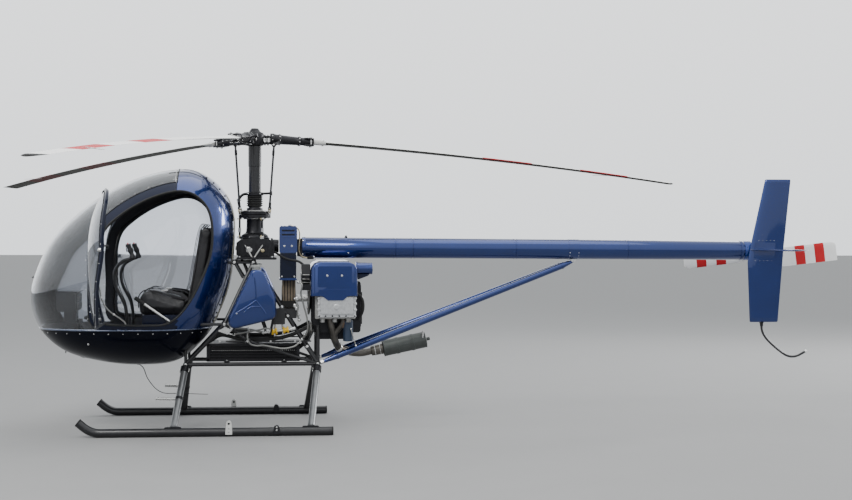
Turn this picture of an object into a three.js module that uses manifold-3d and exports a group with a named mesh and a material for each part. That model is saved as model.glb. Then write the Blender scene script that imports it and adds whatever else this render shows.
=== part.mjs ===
// Two-seat light helicopter: skid gear, open steel frame, three-blade rotor, tail rotor and two cabin doors.
// Millimetres. X points aft, Y to starboard and Z up. The mast stands at X = 0, Y = 0 and the ground is Z = 0.
import * as THREE from 'three';
import { mergeVertices } from 'three/addons/utils/BufferGeometryUtils.js';
import Module from 'manifold-3d';

const wasm = await Module();
wasm.setup();

// Driving sizes
const GAP = 0.3;
const PORT = -1;
const STARBOARD = 1;
const SIDES = [{ name: 'left', side: PORT }, { name: 'right', side: STARBOARD }];
// The exported origin: the middle of the whole machine's box, on the ground
const ORIGIN = { x: 1167, y: -310 };

const CABIN = {
  centre: { x: -880, z: 1170 },
  halfWidth: 600,
  edgePower: 2.6,
  sidePower: 2.3,
  skin: 16,
  bubble: 8,
  waist: 745,
  roofSeam: -550,
  floor: 590,
};
// Side view of the cabin, from the nose over the roof and down the back, as X and Z
const CABIN_OUTLINE = [
  [-1640, 985], [-1605, 1140], [-1490, 1385], [-1282, 1597], [-1058, 1755], [-833, 1859], [-593, 1914],
  [-440, 1910], [-289, 1828], [-178, 1685], [-142, 1540], [-150, 1330], [-175, 1090], [-232, 909],
  [-345, 690], [-560, 497], [-850, 462], [-1130, 490], [-1394, 570], [-1560, 715], [-1622, 845],
];
// Side view of a door opening, from the foot of the front pillar over the arch and back along the sill
const DOOR_OUTLINE = [
  [-1100, 860], [-1101, 1060], [-1097, 1330], [-1050, 1470], [-960, 1560], [-843, 1640], [-725, 1698], [-600, 1738],
  [-515, 1746], [-444, 1729], [-380, 1686], [-330, 1622], [-301, 1535], [-293, 1420], [-302, 1310], [-335, 1189],
  [-384, 1074], [-440, 967], [-500, 880], [-562, 818], [-632, 783], [-760, 777], [-940, 779], [-1050, 790],
  [-1088, 815],
];
const FLOOR_HOLE = { x: -980, y: 210, radius: 55 };
const DOOR = {
  gap: 8,
  pillar: 62,
  frame: 34,
  open: 92,
  hingeX: -1128,
  hingeY: 622,
  hinges: [900, 1260],
  pinRadius: 5,
  boreRadius: 5.8,
  ringRadius: 12,
  ringHeight: 22,
  earHeight: 10,
};

const SKID = { y: 650.5, radius: 31, rear: 565, bendStart: -1105, tip: { x: -1225, z: 108 } };
const LEG = { radius: 26, topY: 235, topZ: 477, footZ: 45 };
const LEGS = [
  { name: 'gear_front', topX: -500, footX: -565 },
  { name: 'gear_rear', topX: 468, footX: 406 },
];
const TUBE = 15;
const PEG = { x: -700, z: 245, radius: 9 };
const LUG = { x: -172, halfWidth: 22, holeZ: 94, thickness: 8 };

const MAST = { radius: 49, bottom: 1380 };
const SLEEVE = { inner: 53, outer: 60, top: 1630 };
const SWASH = {
  fixed: { lowZ: 1555, highZ: 1578, inner: 60.3, outer: 120 },
  rotating: { lowZ: 1580, highZ: 1603, inner: 64.3, outer: 122, lug: 129 },
};
const HUB = { radius: 72, bottom: 2098, top: 2196, armReach: 112, armWidth: 54 };
const ROTOR = {
  azimuths: [10.24, 130.24, 250.24],
  gripStart: 116,
  gripEnd: 446,
  tip: 3420,
  chord: 156,
  thickness: 19,
  rootZ: 2131,
  slope: 0.0582,
  curve: 0.00001222,
  hornLag: 40,
  linkRadius: 165,
};

const BOOM = { front: 352, rear: 3830, frontZ: 1333, rearZ: 1314, frontRadius: 79, rearRadius: 74, wall: 3 };
const TAIL_ROTOR = { x: 3997, y: 250, z: 1275, tip: 628, chord: 153, tilt: 6.6, thickness: 17 };
const FIN = { thickness: 30 };
const STRUT = 24;
const BELT_COVER = { front: 182, rear: 317, halfWidth: 165 };
const ENGINE = { front: 430, rear: 790, coverFront: 412, coverRear: 753, coverHalf: 395 };
const MUFFLER = { start: [968, 0, 566], end: [1298, 0, 636], radius: 62 };

const PAINT = {
  blue: { color: 0x123a8c, roughness: 0.25, metalness: 0.3 },
  navy: { color: 0x10183a, roughness: 0.35, metalness: 0.2 },
  black: { color: 0x17181a, roughness: 0.5, metalness: 0.2 },
  steel: { color: 0x4a4d50, roughness: 0.45, metalness: 0.7 },
  silver: { color: 0xb4b7ba, roughness: 0.4, metalness: 0.8 },
  clear: { color: 0xc6d2da, roughness: 0.05, metalness: 0.0 },
  leather: { color: 0x1c1c1e, roughness: 0.6, metalness: 0.0 },
  white: { color: 0xe8e8e6, roughness: 0.35, metalness: 0.0 },
  rubber: { color: 0x141414, roughness: 0.85, metalness: 0.0 },
};

// Solids from three.js geometries
function toSolid(geometry) {
  const bare = geometry.clone();
  bare.deleteAttribute('normal');
  bare.deleteAttribute('uv');
  const merged = mergeVertices(bare, 1e-3);
  const index = Array.from(merged.index.array);
  const kept = [];
  for (let i = 0; i < index.length; i += 3) {
    const [a, b, c] = index.slice(i, i + 3);
    if (a !== b && b !== c && c !== a) kept.push(a, b, c);
  }
  const vertProperties = new Float32Array(merged.attributes.position.array);
  return new wasm.Manifold(new wasm.Mesh({ numProp: 3, vertProperties, triVerts: new Uint32Array(kept) }));
}

function toGeometry(solid) {
  const mesh = solid.getMesh();
  const geometry = new THREE.BufferGeometry();
  geometry.setAttribute('position', new THREE.BufferAttribute(new Float32Array(mesh.vertProperties), 3));
  geometry.setIndex(new THREE.BufferAttribute(new Uint32Array(mesh.triVerts), 1));
  return geometry;
}

const join = (...solids) => solids.flat().reduce((sum, solid) => sum.add(solid));
const cut = (solid, ...tools) => tools.flat().reduce((left, tool) => left.subtract(tool), solid);
const vec = (x, y, z) => new THREE.Vector3(x, y, z);

function box(x0, x1, y0, y1, z0, z1) {
  const geometry = new THREE.BoxGeometry(x1 - x0, y1 - y0, z1 - z0);
  geometry.translate((x0 + x1) / 2, (y0 + y1) / 2, (z0 + z1) / 2);
  return toSolid(geometry);
}

// A round bar or cone from one point to another
function rod(from, to, radius, endRadius = radius, sides = 8) {
  const along = vec(...to).sub(vec(...from));
  const geometry = new THREE.CylinderGeometry(endRadius, radius, along.length(), sides);
  geometry.applyQuaternion(new THREE.Quaternion().setFromUnitVectors(vec(0, 1, 0), along.clone().normalize()));
  geometry.translate(...vec(...from).addScaledVector(along, 0.5).toArray());
  return toSolid(geometry);
}

// A round body turned about the line from one point to another; the profile lists distance and radius
function turned(from, to, profile, sides = 10) {
  const along = vec(...to).sub(vec(...from));
  const last = profile[profile.length - 1][0];
  const points = [[profile[0][0], 0], ...profile, [last, 0]].map(([distance, radius]) => new THREE.Vector2(radius, distance));
  const geometry = new THREE.LatheGeometry(points, sides);
  geometry.applyQuaternion(new THREE.Quaternion().setFromUnitVectors(vec(0, 1, 0), along.normalize()));
  geometry.translate(...from);
  return toSolid(geometry);
}

// The two Y values of a stretch on one side, lower one first
const span = (side, inner, outer) => [side * inner, side * outer].sort((p, q) => p - q);
const disc = (x, y, z0, z1, radius, sides = 20) => rod([x, y, z0], [x, y, z1], radius, radius, sides);
const ball = (x, y, z, radius) => toSolid(new THREE.SphereGeometry(radius, 6, 4).translate(x, y, z));

// A flat outline in the side view, as X and Z, made thick along Y
function sidePlate(outline, y0, y1) {
  const shape = new THREE.Shape(outline.map(([x, z]) => new THREE.Vector2(x, z)));
  const geometry = new THREE.ExtrudeGeometry(shape, { depth: y1 - y0, bevelEnabled: false });
  geometry.rotateX(Math.PI / 2);
  geometry.translate(0, y1, 0);
  return toSolid(geometry);
}

// A tube along a smooth line through the given points
function bentTube(points, radius, steps, sides = 10) {
  const path = new THREE.CatmullRomCurve3(points.map((point) => vec(...point)), false, 'centripetal');
  const corners = Array.from({ length: sides }, (unused, i) => {
    const angle = (2 * Math.PI * i) / sides;
    return new THREE.Vector2(radius * Math.cos(angle), radius * Math.sin(angle));
  });
  const section = new THREE.Shape(corners);
  const options = { steps, extrudePath: path, bevelEnabled: false };
  return toSolid(new THREE.ExtrudeGeometry(section, options));
}

// A closed skin over a list of rings that all have the same number of points
function loft(rings) {
  const count = rings[0].length;
  const positions = rings.flat().flatMap((point) => point.toArray());
  const index = [];
  for (let r = 0; r + 1 < rings.length; r += 1) {
    for (let i = 0; i < count; i += 1) {
      const j = (i + 1) % count;
      const a = r * count + i;
      const b = r * count + j;
      index.push(a, b, b + count, a, b + count, a + count);
    }
  }
  for (const [ring, flip] of [[0, true], [rings.length - 1, false]]) {
    const middle = rings[ring].reduce((sum, point) => sum.add(point), vec(0, 0, 0)).divideScalar(count);
    positions.push(...middle.toArray());
    const hubIndex = positions.length / 3 - 1;
    for (let i = 0; i < count; i += 1) {
      const a = ring * count + i;
      const b = ring * count + ((i + 1) % count);
      index.push(...(flip ? [b, a, hubIndex] : [a, b, hubIndex]));
    }
  }
  const geometry = new THREE.BufferGeometry();
  geometry.setAttribute('position', new THREE.BufferAttribute(new Float32Array(positions), 3));
  geometry.setIndex(index);
  return toSolid(geometry);
}

// The parts list, filled by the sections below
const model = new THREE.Group();

function place(name, paint, solid, parent = model) {
  const mesh = new THREE.Mesh(toGeometry(solid), new THREE.MeshStandardMaterial({ ...PAINT[paint], name: paint }));
  mesh.name = name;
  parent.add(mesh);
  return mesh;
}

// Cabin body: an egg whose side view is CABIN_OUTLINE, pulled in evenly by an inset
const outlineCurve = new THREE.CatmullRomCurve3(
  CABIN_OUTLINE.map(([x, z]) => vec(x, 0, z)), true, 'centripetal',
);
const CABIN_AROUND = 44;
const CABIN_RINGS = 6;

function cabinBody(inset) {
  const { centre, halfWidth, edgePower, sidePower } = CABIN;
  const middle = vec(centre.x, 0, centre.z);
  const rim = outlineCurve.getSpacedPoints(CABIN_AROUND).slice(0, CABIN_AROUND).map((point) => {
    const reach = point.clone().sub(middle);
    return reach.setLength(reach.length() - inset);
  });
  const rings = [];
  for (let k = -CABIN_RINGS; k <= CABIN_RINGS; k += 1) {
    const angle = (Math.PI / 2) * Math.min(Math.abs(k) / CABIN_RINGS, 0.985);
    const shrink = Math.cos(angle) ** (2 / edgePower);
    const across = Math.sign(k) * (halfWidth - inset) * Math.sin(angle) ** (2 / sidePower);
    rings.push(rim.map((reach) => middle.clone().addScaledVector(reach, shrink).setY(across)));
  }
  return loft(rings);
}

// Half width of the cabin at a place in the side view
function cabinHalfWidth(x, z) {
  const { centre, halfWidth, edgePower, sidePower } = CABIN;
  const samples = outlineCurve.getSpacedPoints(360);
  const angle = Math.atan2(z - centre.z, x - centre.x);
  const turn = (point) => Math.abs(Math.atan2(Math.sin(Math.atan2(point.z - centre.z, point.x - centre.x) - angle),
    Math.cos(Math.atan2(point.z - centre.z, point.x - centre.x) - angle)));
  const edge = samples.reduce((best, point) => (turn(point) < turn(best) ? point : best));
  const reach = Math.hypot(edge.x - centre.x, edge.z - centre.z);
  const share = Math.min(Math.hypot(x - centre.x, z - centre.z) / reach, 1);
  return halfWidth * (1 - share ** edgePower) ** (1 / sidePower);
}

// The door outline moved outward (or inward when negative) along its own normal
function doorOutline(offset) {
  const points = DOOR_OUTLINE.map(([x, z]) => new THREE.Vector2(x, z));
  return points.map((point, i) => {
    const before = points[(i + points.length - 1) % points.length];
    const after = points[(i + 1) % points.length];
    const along = after.clone().sub(before).normalize();
    return [point.x - along.y * offset, point.y + along.x * offset];
  });
}

const outside = cabinBody(0);
const skinInside = cabinBody(CABIN.skin);
const bubbleInside = cabinBody(CABIN.bubble);
const FAR = 2500;
const aboveWaist = box(-FAR, FAR, -FAR, FAR, CABIN.waist + GAP / 2, FAR);
const belowWaist = box(-FAR, FAR, -FAR, FAR, -FAR, CABIN.waist - GAP / 2);
const aftOfSeam = box(CABIN.roofSeam, FAR, -FAR, FAR, -FAR, FAR);
const bothSides = (outline) => [sidePlate(outline, -FAR, -150), sidePlate(outline, 150, FAR)];

function buildCabin() {
  const skin = cut(outside, skinInside);
  const openings = bothSides(doorOutline(0));
  const pillars = bothSides(doorOutline(DOOR.pillar));
  const shellRegion = join(aftOfSeam, ...pillars);
  const shell = cut(skin.intersect(aboveWaist).intersect(shellRegion), ...openings);
  const ears = SIDES.flatMap(({ side }) => DOOR.hinges.flatMap((z) => hingeEars(z, side)));
  place('cabin_shell', 'blue', cut(join(shell, ...ears), skinInside));

  const bubbleRegion = cut(aboveWaist, box(CABIN.roofSeam - GAP, FAR, -FAR, FAR, -FAR, FAR),
    ...bothSides(doorOutline(DOOR.pillar + 3 * GAP)));
  place('canopy', 'clear', keepLargest(cut(outside, bubbleInside).intersect(bubbleRegion)));

  const floor = box(-1500, -420, -FAR, FAR, CABIN.floor - 12, CABIN.floor).intersect(outside);
  const handHoles = SIDES.map(({ side }) => disc(FLOOR_HOLE.x, side * FLOOR_HOLE.y, 560, 620, FLOOR_HOLE.radius, 16));
  place('cabin_tub', 'navy', join(skin.intersect(belowWaist), cut(floor, ...handHoles)));
}

// The fixed half of one door hinge: two ears on the pillar and the pin through them
function hingeEars(z, side) {
  const skinAt = cabinHalfWidth(DOOR.hingeX - 14, z);
  const y = side * DOOR.hingeY;
  const clear = 0.7;
  const earAt = (low, high) => join(
    disc(DOOR.hingeX, y, low, high, DOOR.ringRadius, 16),
    rod([DOOR.hingeX, y, (low + high) / 2], [DOOR.hingeX - 22, side * (skinAt - 8), (low + high) / 2],
      DOOR.earHeight / 2, DOOR.earHeight / 2, 8),
  );
  const half = DOOR.ringHeight / 2 + clear;
  return [
    earAt(z - half - DOOR.earHeight, z - half),
    earAt(z + half, z + half + DOOR.earHeight),
    disc(DOOR.hingeX, y, z - half - 1, z + half + 1, DOOR.pinRadius, 16),
  ];
}

// A door, modelled shut and then swung about its hinge line
function buildDoor(name, side, swing) {
  const swinging = new THREE.Group();
  const pivot = vec(DOOR.hingeX, side * DOOR.hingeY, 0);
  const turned = new THREE.Group();
  turned.position.copy(pivot);
  turned.rotation.z = side * THREE.MathUtils.degToRad(swing);
  swinging.position.copy(pivot).negate();
  turned.add(swinging);
  model.add(turned);

  const near = (offset) => sidePlate(doorOutline(offset), ...(side < 0 ? [-FAR, -150] : [150, FAR]));
  const panel = cut(outside, skinInside).intersect(near(-DOOR.gap));
  const window = near(-DOOR.gap - DOOR.frame);
  const frame = cut(panel, window);
  const knuckles = DOOR.hinges.map((z) => hingeKnuckle(z, side));
  const bores = DOOR.hinges.map((z) => disc(DOOR.hingeX, side * DOOR.hingeY, z - 40, z + 40, DOOR.boreRadius, 16));
  place(`${name}_frame`, 'navy', cut(join(frame, ...knuckles), bores), swinging);
  const pane = cut(cabinBody(3), cabinBody(10)).intersect(near(-DOOR.gap - DOOR.frame - GAP));
  place(`${name}_window`, 'clear', pane, swinging);
}

// The moving half of one door hinge: a ring round the pin and a strap to the door's edge
function hingeKnuckle(z, side) {
  const low = z - DOOR.ringHeight / 2;
  const high = z + DOOR.ringHeight / 2;
  const strapEnd = DOOR.hingeX + 56;
  const skinAt = cabinHalfWidth(strapEnd, z);
  return join(
    disc(DOOR.hingeX, side * DOOR.hingeY, low, high, DOOR.ringRadius, 16),
    rod([DOOR.hingeX, side * DOOR.hingeY, z], [strapEnd, side * (skinAt - 6), z], 7, 7, 8),
  );
}

function buildInterior() {
  const f = CABIN.floor + GAP;
  const room = cabinBody(CABIN.skin + 2);
  place('instrument_console', 'black', keepLargest(join(
    box(-1440, -1300, -170, 170, 860, 1010),
    box(-1400, -1310, -60, 60, 560, 870),
  ).intersect(room).intersect(box(-FAR, FAR, -FAR, FAR, f, FAR))));
  const lever = join(
    rod([-600, -428, 800], [-850, -428, 975], 11),
    box(-620, -590, -436, -400, 770, 812),
  );
  place('seat_bench', 'navy', join(box(-800, -470, -420, 420, f, 850).intersect(room), lever));
  for (const { name, side } of SIDES) {
    const [y0, y1] = [side * 25, side * 410].sort((p, q) => p - q);
    const base = 850 + GAP;
    const cushion = [[-825, base], [-500, base], [-470, 960], [-745, 1030], [-800, 1020], [-830, 960]];
    const back = [[-520, base], [-450, base], [-375, 960], [-300, 1480], [-330, 1510], [-380, 1490], [-480, 965]];
    place(`seat_${name}`, 'leather', join(sidePlate(cushion, y0, y1), sidePlate(back, y0 + 15, y1 - 15)).intersect(room));
  }
  const stick = (y) => bentTube([[-930, y, 600], [-925, y, 700], [-935, y, 900], [-1005, y, 1060], [-1010, y, 1160],
    [-960, y, 1230], [-890, y, 1255], [-905, y, 1345]], 13, 15, 8);
  place('control_sticks', 'black', join(
    stick(-240), stick(240), rod([-929, -240, 640], [-929, 240, 640], 12),
    ...[-240, 240].map((y) => disc(-930, y, f, 604, 24, 10)),
  ));
  const pedal = (y) => join(rod([-1150, y, 640], [-1265, y, 800], 9), rod([-1265, y - 40, 800], [-1265, y + 40, 800], 12));
  place('pedals', 'black', join(
    ...[-270, -170, 170, 270].map(pedal), rod([-1150, -280, 640], [-1150, 280, 640], 10),
    ...[-100, 100].map((y) => rod([-1150, y, f], [-1150, y, 640], 10)),
  ));
}

// The biggest separate body of a solid
function keepLargest(solid) {
  return solid.decompose().reduce((best, piece) => (piece.volume() > best.volume() ? piece : best));
}

// Steel frame nodes of the starboard side as X, Y and Z; the port side mirrors them
const NODES = {
  apex: [-8, 200, 1225],
  top: [-146, 215, 1225],
  elbow: [-215, 330, 775],
  front: [-500, 235, 475],
  rear: [468, 235, 475],
  mid: [-45, 300, 650],
  engine: [468, 240, 760],
  brace: [-82, 240, 1110],
};
const FRAME_TUBES = [
  { from: 'apex', to: 'elbow', radius: TUBE },
  { from: 'elbow', to: 'front', radius: TUBE },
  { from: 'apex', to: 'rear', radius: TUBE },
  { from: 'front', to: 'rear', radius: TUBE },
  { from: 'top', to: 'brace', radius: 9 },
  { from: 'top', to: 'apex', radius: 11 },
  { from: 'mid', to: 'rear', radius: 11 },
  { from: 'elbow', to: 'mid', radius: 11 },
  { from: 'rear', to: 'engine', radius: TUBE },
];
const FRAME_BALL = TUBE + 3;
const at = (node, side) => [NODES[node][0], side * NODES[node][1], NODES[node][2]];

const TANK = { inner: 372, outer: 500 };
const TANK_OUTLINE = [
  [-28, 1150], [-5, 1178], [50, 1178], [80, 1150], [155, 985], [158, 845], [140, 820], [-140, 752], [-172, 765],
  [-182, 825],
];
// Pegs from a frame tube out to the tank's inner face
const TANK_PEGS = [
  { x: -157, y: 294, z: 900, tankX: -100 },
  { x: 46, y: 204, z: 1140, tankX: 40 },
];
// Short arms from the frame forward to the cabin's skin
const CABIN_ARMS = [
  { node: 'front', x: -500, z: 640 },
  { node: 'elbow', x: -420, z: 775 },
  { node: 'top', x: -330, z: 1225 },
];

function buildFrame() {
  const cabinSkin = cabinBody(-GAP);
  for (const { name, side } of SIDES) {
    const tubes = FRAME_TUBES.map(({ from, to, radius }) => rod(at(from, side), at(to, side), radius, radius, 6));
    const joints = ['apex', 'top', 'elbow', 'front', 'rear', 'mid'].map((node) => ball(...at(node, side), FRAME_BALL));
    const pegs = TANK_PEGS.flatMap(({ x, y, z, tankX }) => [
      rod([x, side * y, z], [tankX, side * (TANK.inner - 14), z], 9),
      rod([tankX, side * (TANK.inner - 22), z], [tankX, side * (TANK.inner - GAP), z], 12),
    ]);
    const arms = CABIN_ARMS.map(({ node, x, z }) => rod(at(node, side), [x, side * NODES[node][1], z], 11));
    place(`frame_${name}`, 'black', cut(join(...tubes, ...joints, ...pegs, ...arms), cabinSkin));
  }
  for (const node of ['front', 'rear']) {
    const [x, y, z] = NODES[node];
    const reach = y - FRAME_BALL - 3 * GAP;
    place(`cross_tube_${node}`, 'black', rod([x, -reach, z], [x, reach, z], TUBE));
  }
}

function buildTanks() {
  for (const { name, side } of SIDES) {
    const [y0, y1] = side < 0 ? [-TANK.outer, -TANK.inner] : [TANK.inner, TANK.outer];
    place(`fuel_tank_${name}`, 'blue', sidePlate(TANK_OUTLINE, y0, y1));
  }
}

// Skid tube with its upturned nose and a dark clamp, and the light lug for the ground wheel
function buildGear() {
  for (const { name, side } of SIDES) {
    const y = side * SKID.y;
    const r = SKID.radius;
    const straight = rod([SKID.rear, y, r], [SKID.bendStart - 4, y, r], r, r, 16);
    const nose = bentTube([[SKID.bendStart + 10, y, r], [SKID.bendStart, y, r], [SKID.bendStart - 55, y, r + 24],
      [SKID.tip.x, y, SKID.tip.z]], r - 0.2, 7, 16);
    const clamp = box(150, 180, y - 34, y + 34, 12, 78);
    const [y0, y1] = [side * (SKID.y + r - 2), side * (SKID.y + r + LUG.thickness)].sort((p, q) => p - q);
    const plate = join(box(LUG.x - LUG.halfWidth, LUG.x + LUG.halfWidth, y0, y1, 18, LUG.holeZ),
      rod([LUG.x, y0, LUG.holeZ], [LUG.x, y1, LUG.holeZ], LUG.halfWidth, LUG.halfWidth, 20));
    const hole = rod([LUG.x, y0 - 5, LUG.holeZ], [LUG.x, y1 + 5, LUG.holeZ], 8);
    place(`skid_${name}`, 'black', join(straight, nose, clamp, cut(plate, hole)));

    for (const { name: legName, topX, footX } of LEGS) {
      const top = vec(topX, side * LEG.topY, LEG.topZ);
      const foot = vec(footX, y, r);
      const down = foot.clone().sub(top).normalize();
      const start = top.clone().addScaledVector(down, FRAME_BALL + 13);
      const leg = rod(start.toArray(), foot.toArray(), LEG.radius, LEG.radius, 16);
      const socket = rod(top.clone().addScaledVector(down, FRAME_BALL + 3 * GAP).toArray(),
        start.clone().addScaledVector(down, 4).toArray(), 7, 20);
      const pegs = legName === 'gear_front' ? [footPeg(top, down, side)] : [];
      const body = cut(join(leg, socket, ...pegs), rod([footX - 90, y, r], [footX + 90, y, r], r + GAP, r + GAP, 16));
      place(`${legName}_${name}`, side < 0 ? 'steel' : 'black', body);
    }
  }
}

// Step that points forward from a front leg
function footPeg(top, down, side) {
  const root = top.clone().addScaledVector(down, (LEG.topZ - PEG.z) / -down.z);
  return rod(root.toArray(), [PEG.x, root.y + side * 14, PEG.z + 6], PEG.radius, PEG.radius, 8);
}

function buildDrive() {
  const { radius, bottom } = MAST;
  const housing = join(
    box(-128, 150, -140, 140, 1262, 1400),
    box(-132, 165, -232, 232, NODES.apex[2] + FRAME_BALL + GAP, 1262),
    disc(0, 0, 1399, 1430, 100),
    disc(0, 0, 1429, SLEEVE.top, SLEEVE.outer),
    rod([140, 0, 1345], [BELT_COVER.front - GAP, 0, 1345], 48),
  );
  place('main_gearbox', 'black', cut(housing, disc(0, 0, bottom - GAP, SLEEVE.top + 10, SLEEVE.inner)));

  const { lowZ, highZ, inner, outer } = SWASH.fixed;
  const rods = [60, 180, 300].map((turn) => {
    const [x, y] = around(112, turn);
    return rod([x, y, 1400 + GAP], [x, y, lowZ + 2], 8, 8, 8);
  });
  place('swashplate_fixed', 'steel', cut(join(disc(0, 0, lowZ, highZ, outer), ...rods), disc(0, 0, 1300, 1700, inner)));

  const c = BELT_COVER;
  const slots = [1412, 1450].map((z) => box(c.front + 30, c.rear - 25, -c.halfWidth - 5, -c.halfWidth + 12, z, z + 14));
  place('belt_cover', 'blue', cut(join(
    box(c.front, c.rear, -c.halfWidth, c.halfWidth, 1291, 1495),
    box(c.front + 6, c.rear - 6, 12 - c.halfWidth, c.halfWidth - 12, 1090, 1295),
  ), ...slots));
  place('drive_belts', 'rubber', join(
    box(c.front + 22, c.rear - 9, -92, 92, 950, 1090 - GAP),
    rod([c.front + 18, 0, 950], [c.rear - 7, 0, 950], 100, 100, 24),
  ));

  const e = ENGINE;
  const alternator = join(box(345, 411, -340, -180, 1062, 1215), box(345, e.front + 2, -300, -150, 1020, 1064));
  place('engine_block', 'steel', join(
    box(e.front, e.rear, -190, 190, 700, 1088),
    box(e.front + 30, e.rear - 60, -120, 120, 645, 702),
    rod([c.rear - 7 + GAP, 0, 950], [e.front + 5, 0, 950], 26),
    ...SIDES.flatMap(({ side }) => [
      box(455, 481, ...span(side, 185, NODES.engine[1] - TUBE - 3 * GAP), 725, 755),
      box(452, 738, ...span(side, 185, 330), 815, 985),
    ]),
    disc(690, -262, 640, 820, 38, 16),
    alternator,
  ));
  for (const { name, side } of SIDES) {
    place(`valve_cover_${name}`, 'silver', box(463, 746, ...span(side, 330 + GAP, 392), 825, 978 - GAP));
  }
  const cover = cut(
    join(box(e.coverFront, e.coverRear, -e.coverHalf, e.coverHalf, 978, 1192),
      box(e.coverFront + 25, e.coverRear - 25, -e.coverHalf, e.coverHalf, 1190, 1232)),
    box(e.coverFront + 12, e.coverRear - 12, 12 - e.coverHalf, e.coverHalf - 12, 960, 1180),
    box(e.coverFront - 5, e.coverFront + 14, -345, -145, 970, 1075),
    box(e.coverRear - 14, e.coverRear + 5, -194, 194, 970, 1092),
  );
  const duct = cut(
    rod([e.coverRear - 2, -290, 1181], [862, -290, 1181], 44, 44, 20),
    rod([e.coverRear + 20, -290, 1181], [880, -290, 1181], 38, 38, 20),
  );
  place('engine_cover', 'blue', join(cover, duct));
}

function buildExhaust() {
  const m = MUFFLER;
  const start = vec(...m.start);
  const end = vec(...m.end);
  const along = end.clone().sub(start).normalize();
  const inlet = start.clone().addScaledVector(along, -GAP);
  const before = start.clone().addScaledVector(along, -70);
  const pipe = (side) => bentTube([[560, side * 262, 815 - 3 * GAP], [560, side * 262, 790], [572, side * 256, 740],
    [600, side * 200, 640], [640, side * 130, 575], [780, side * 45, 535], before.toArray(), inlet.toArray()],
  25, 20, 8);
  place('exhaust_pipes', 'steel', join(pipe(PORT), pipe(STARBOARD)));
  place('muffler', 'steel', join(
    rod(m.start, m.end, m.radius, m.radius, 24),
    rod(end.clone().addScaledVector(along, -5).toArray(), end.clone().addScaledVector(along, 28).toArray(), 13),
  ));
  const brackets = SIDES.flatMap(({ side }) => [-200, 220].map((x) => (
    box(x - 20, x + 20, ...span(side, 195, NODES.front[1] - TUBE + 1.4), 470, 500))));
  place('radiator', 'black', join(box(-350, 335, -200, 200, 492, 626), ...brackets));
}

const around = (radius, degrees) => {
  const angle = THREE.MathUtils.degToRad(degrees);
  return [radius * Math.cos(angle), radius * Math.sin(angle)];
};

// Points of a symmetric blade section from the trailing edge over the top to the nose and back below
function bladeSection(chord, thickness) {
  const stations = [[-0.73, 0.06], [-0.45, 0.4], [-0.15, 0.8], [0.08, 1], [0.2, 0.75], [0.26, 0.3]];
  const upper = stations.map(([lead, height]) => [lead * chord, (height * thickness) / 2]);
  return [...upper, ...upper.slice().reverse().map(([lead, height]) => [lead, -height])];
}

// A blade through sections along its span; lead points at its leading edge and up through its thickness
function bladeLoft(sections, span, lead, up) {
  const rings = sections.map(({ reach, chord, thickness, rise = 0, pitch = 0 }) => {
    const base = span.clone().multiplyScalar(reach).addScaledVector(up, rise);
    const turn = THREE.MathUtils.degToRad(pitch);
    return bladeSection(chord, thickness).map(([a, t]) => base.clone()
      .addScaledVector(lead, a * Math.cos(turn) - t * Math.sin(turn))
      .addScaledVector(up, a * Math.sin(turn) + t * Math.cos(turn)));
  });
  const rightHanded = span.clone().cross(lead).dot(up) < 0;
  return loft(rightHanded ? rings : rings.map((ring) => ring.slice().reverse()));
}

const bladeRise = (reach) => {
  const out = reach - ROTOR.gripEnd;
  return ROTOR.rootZ - ROTOR.slope * out - ROTOR.curve * out * out;
};

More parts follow.
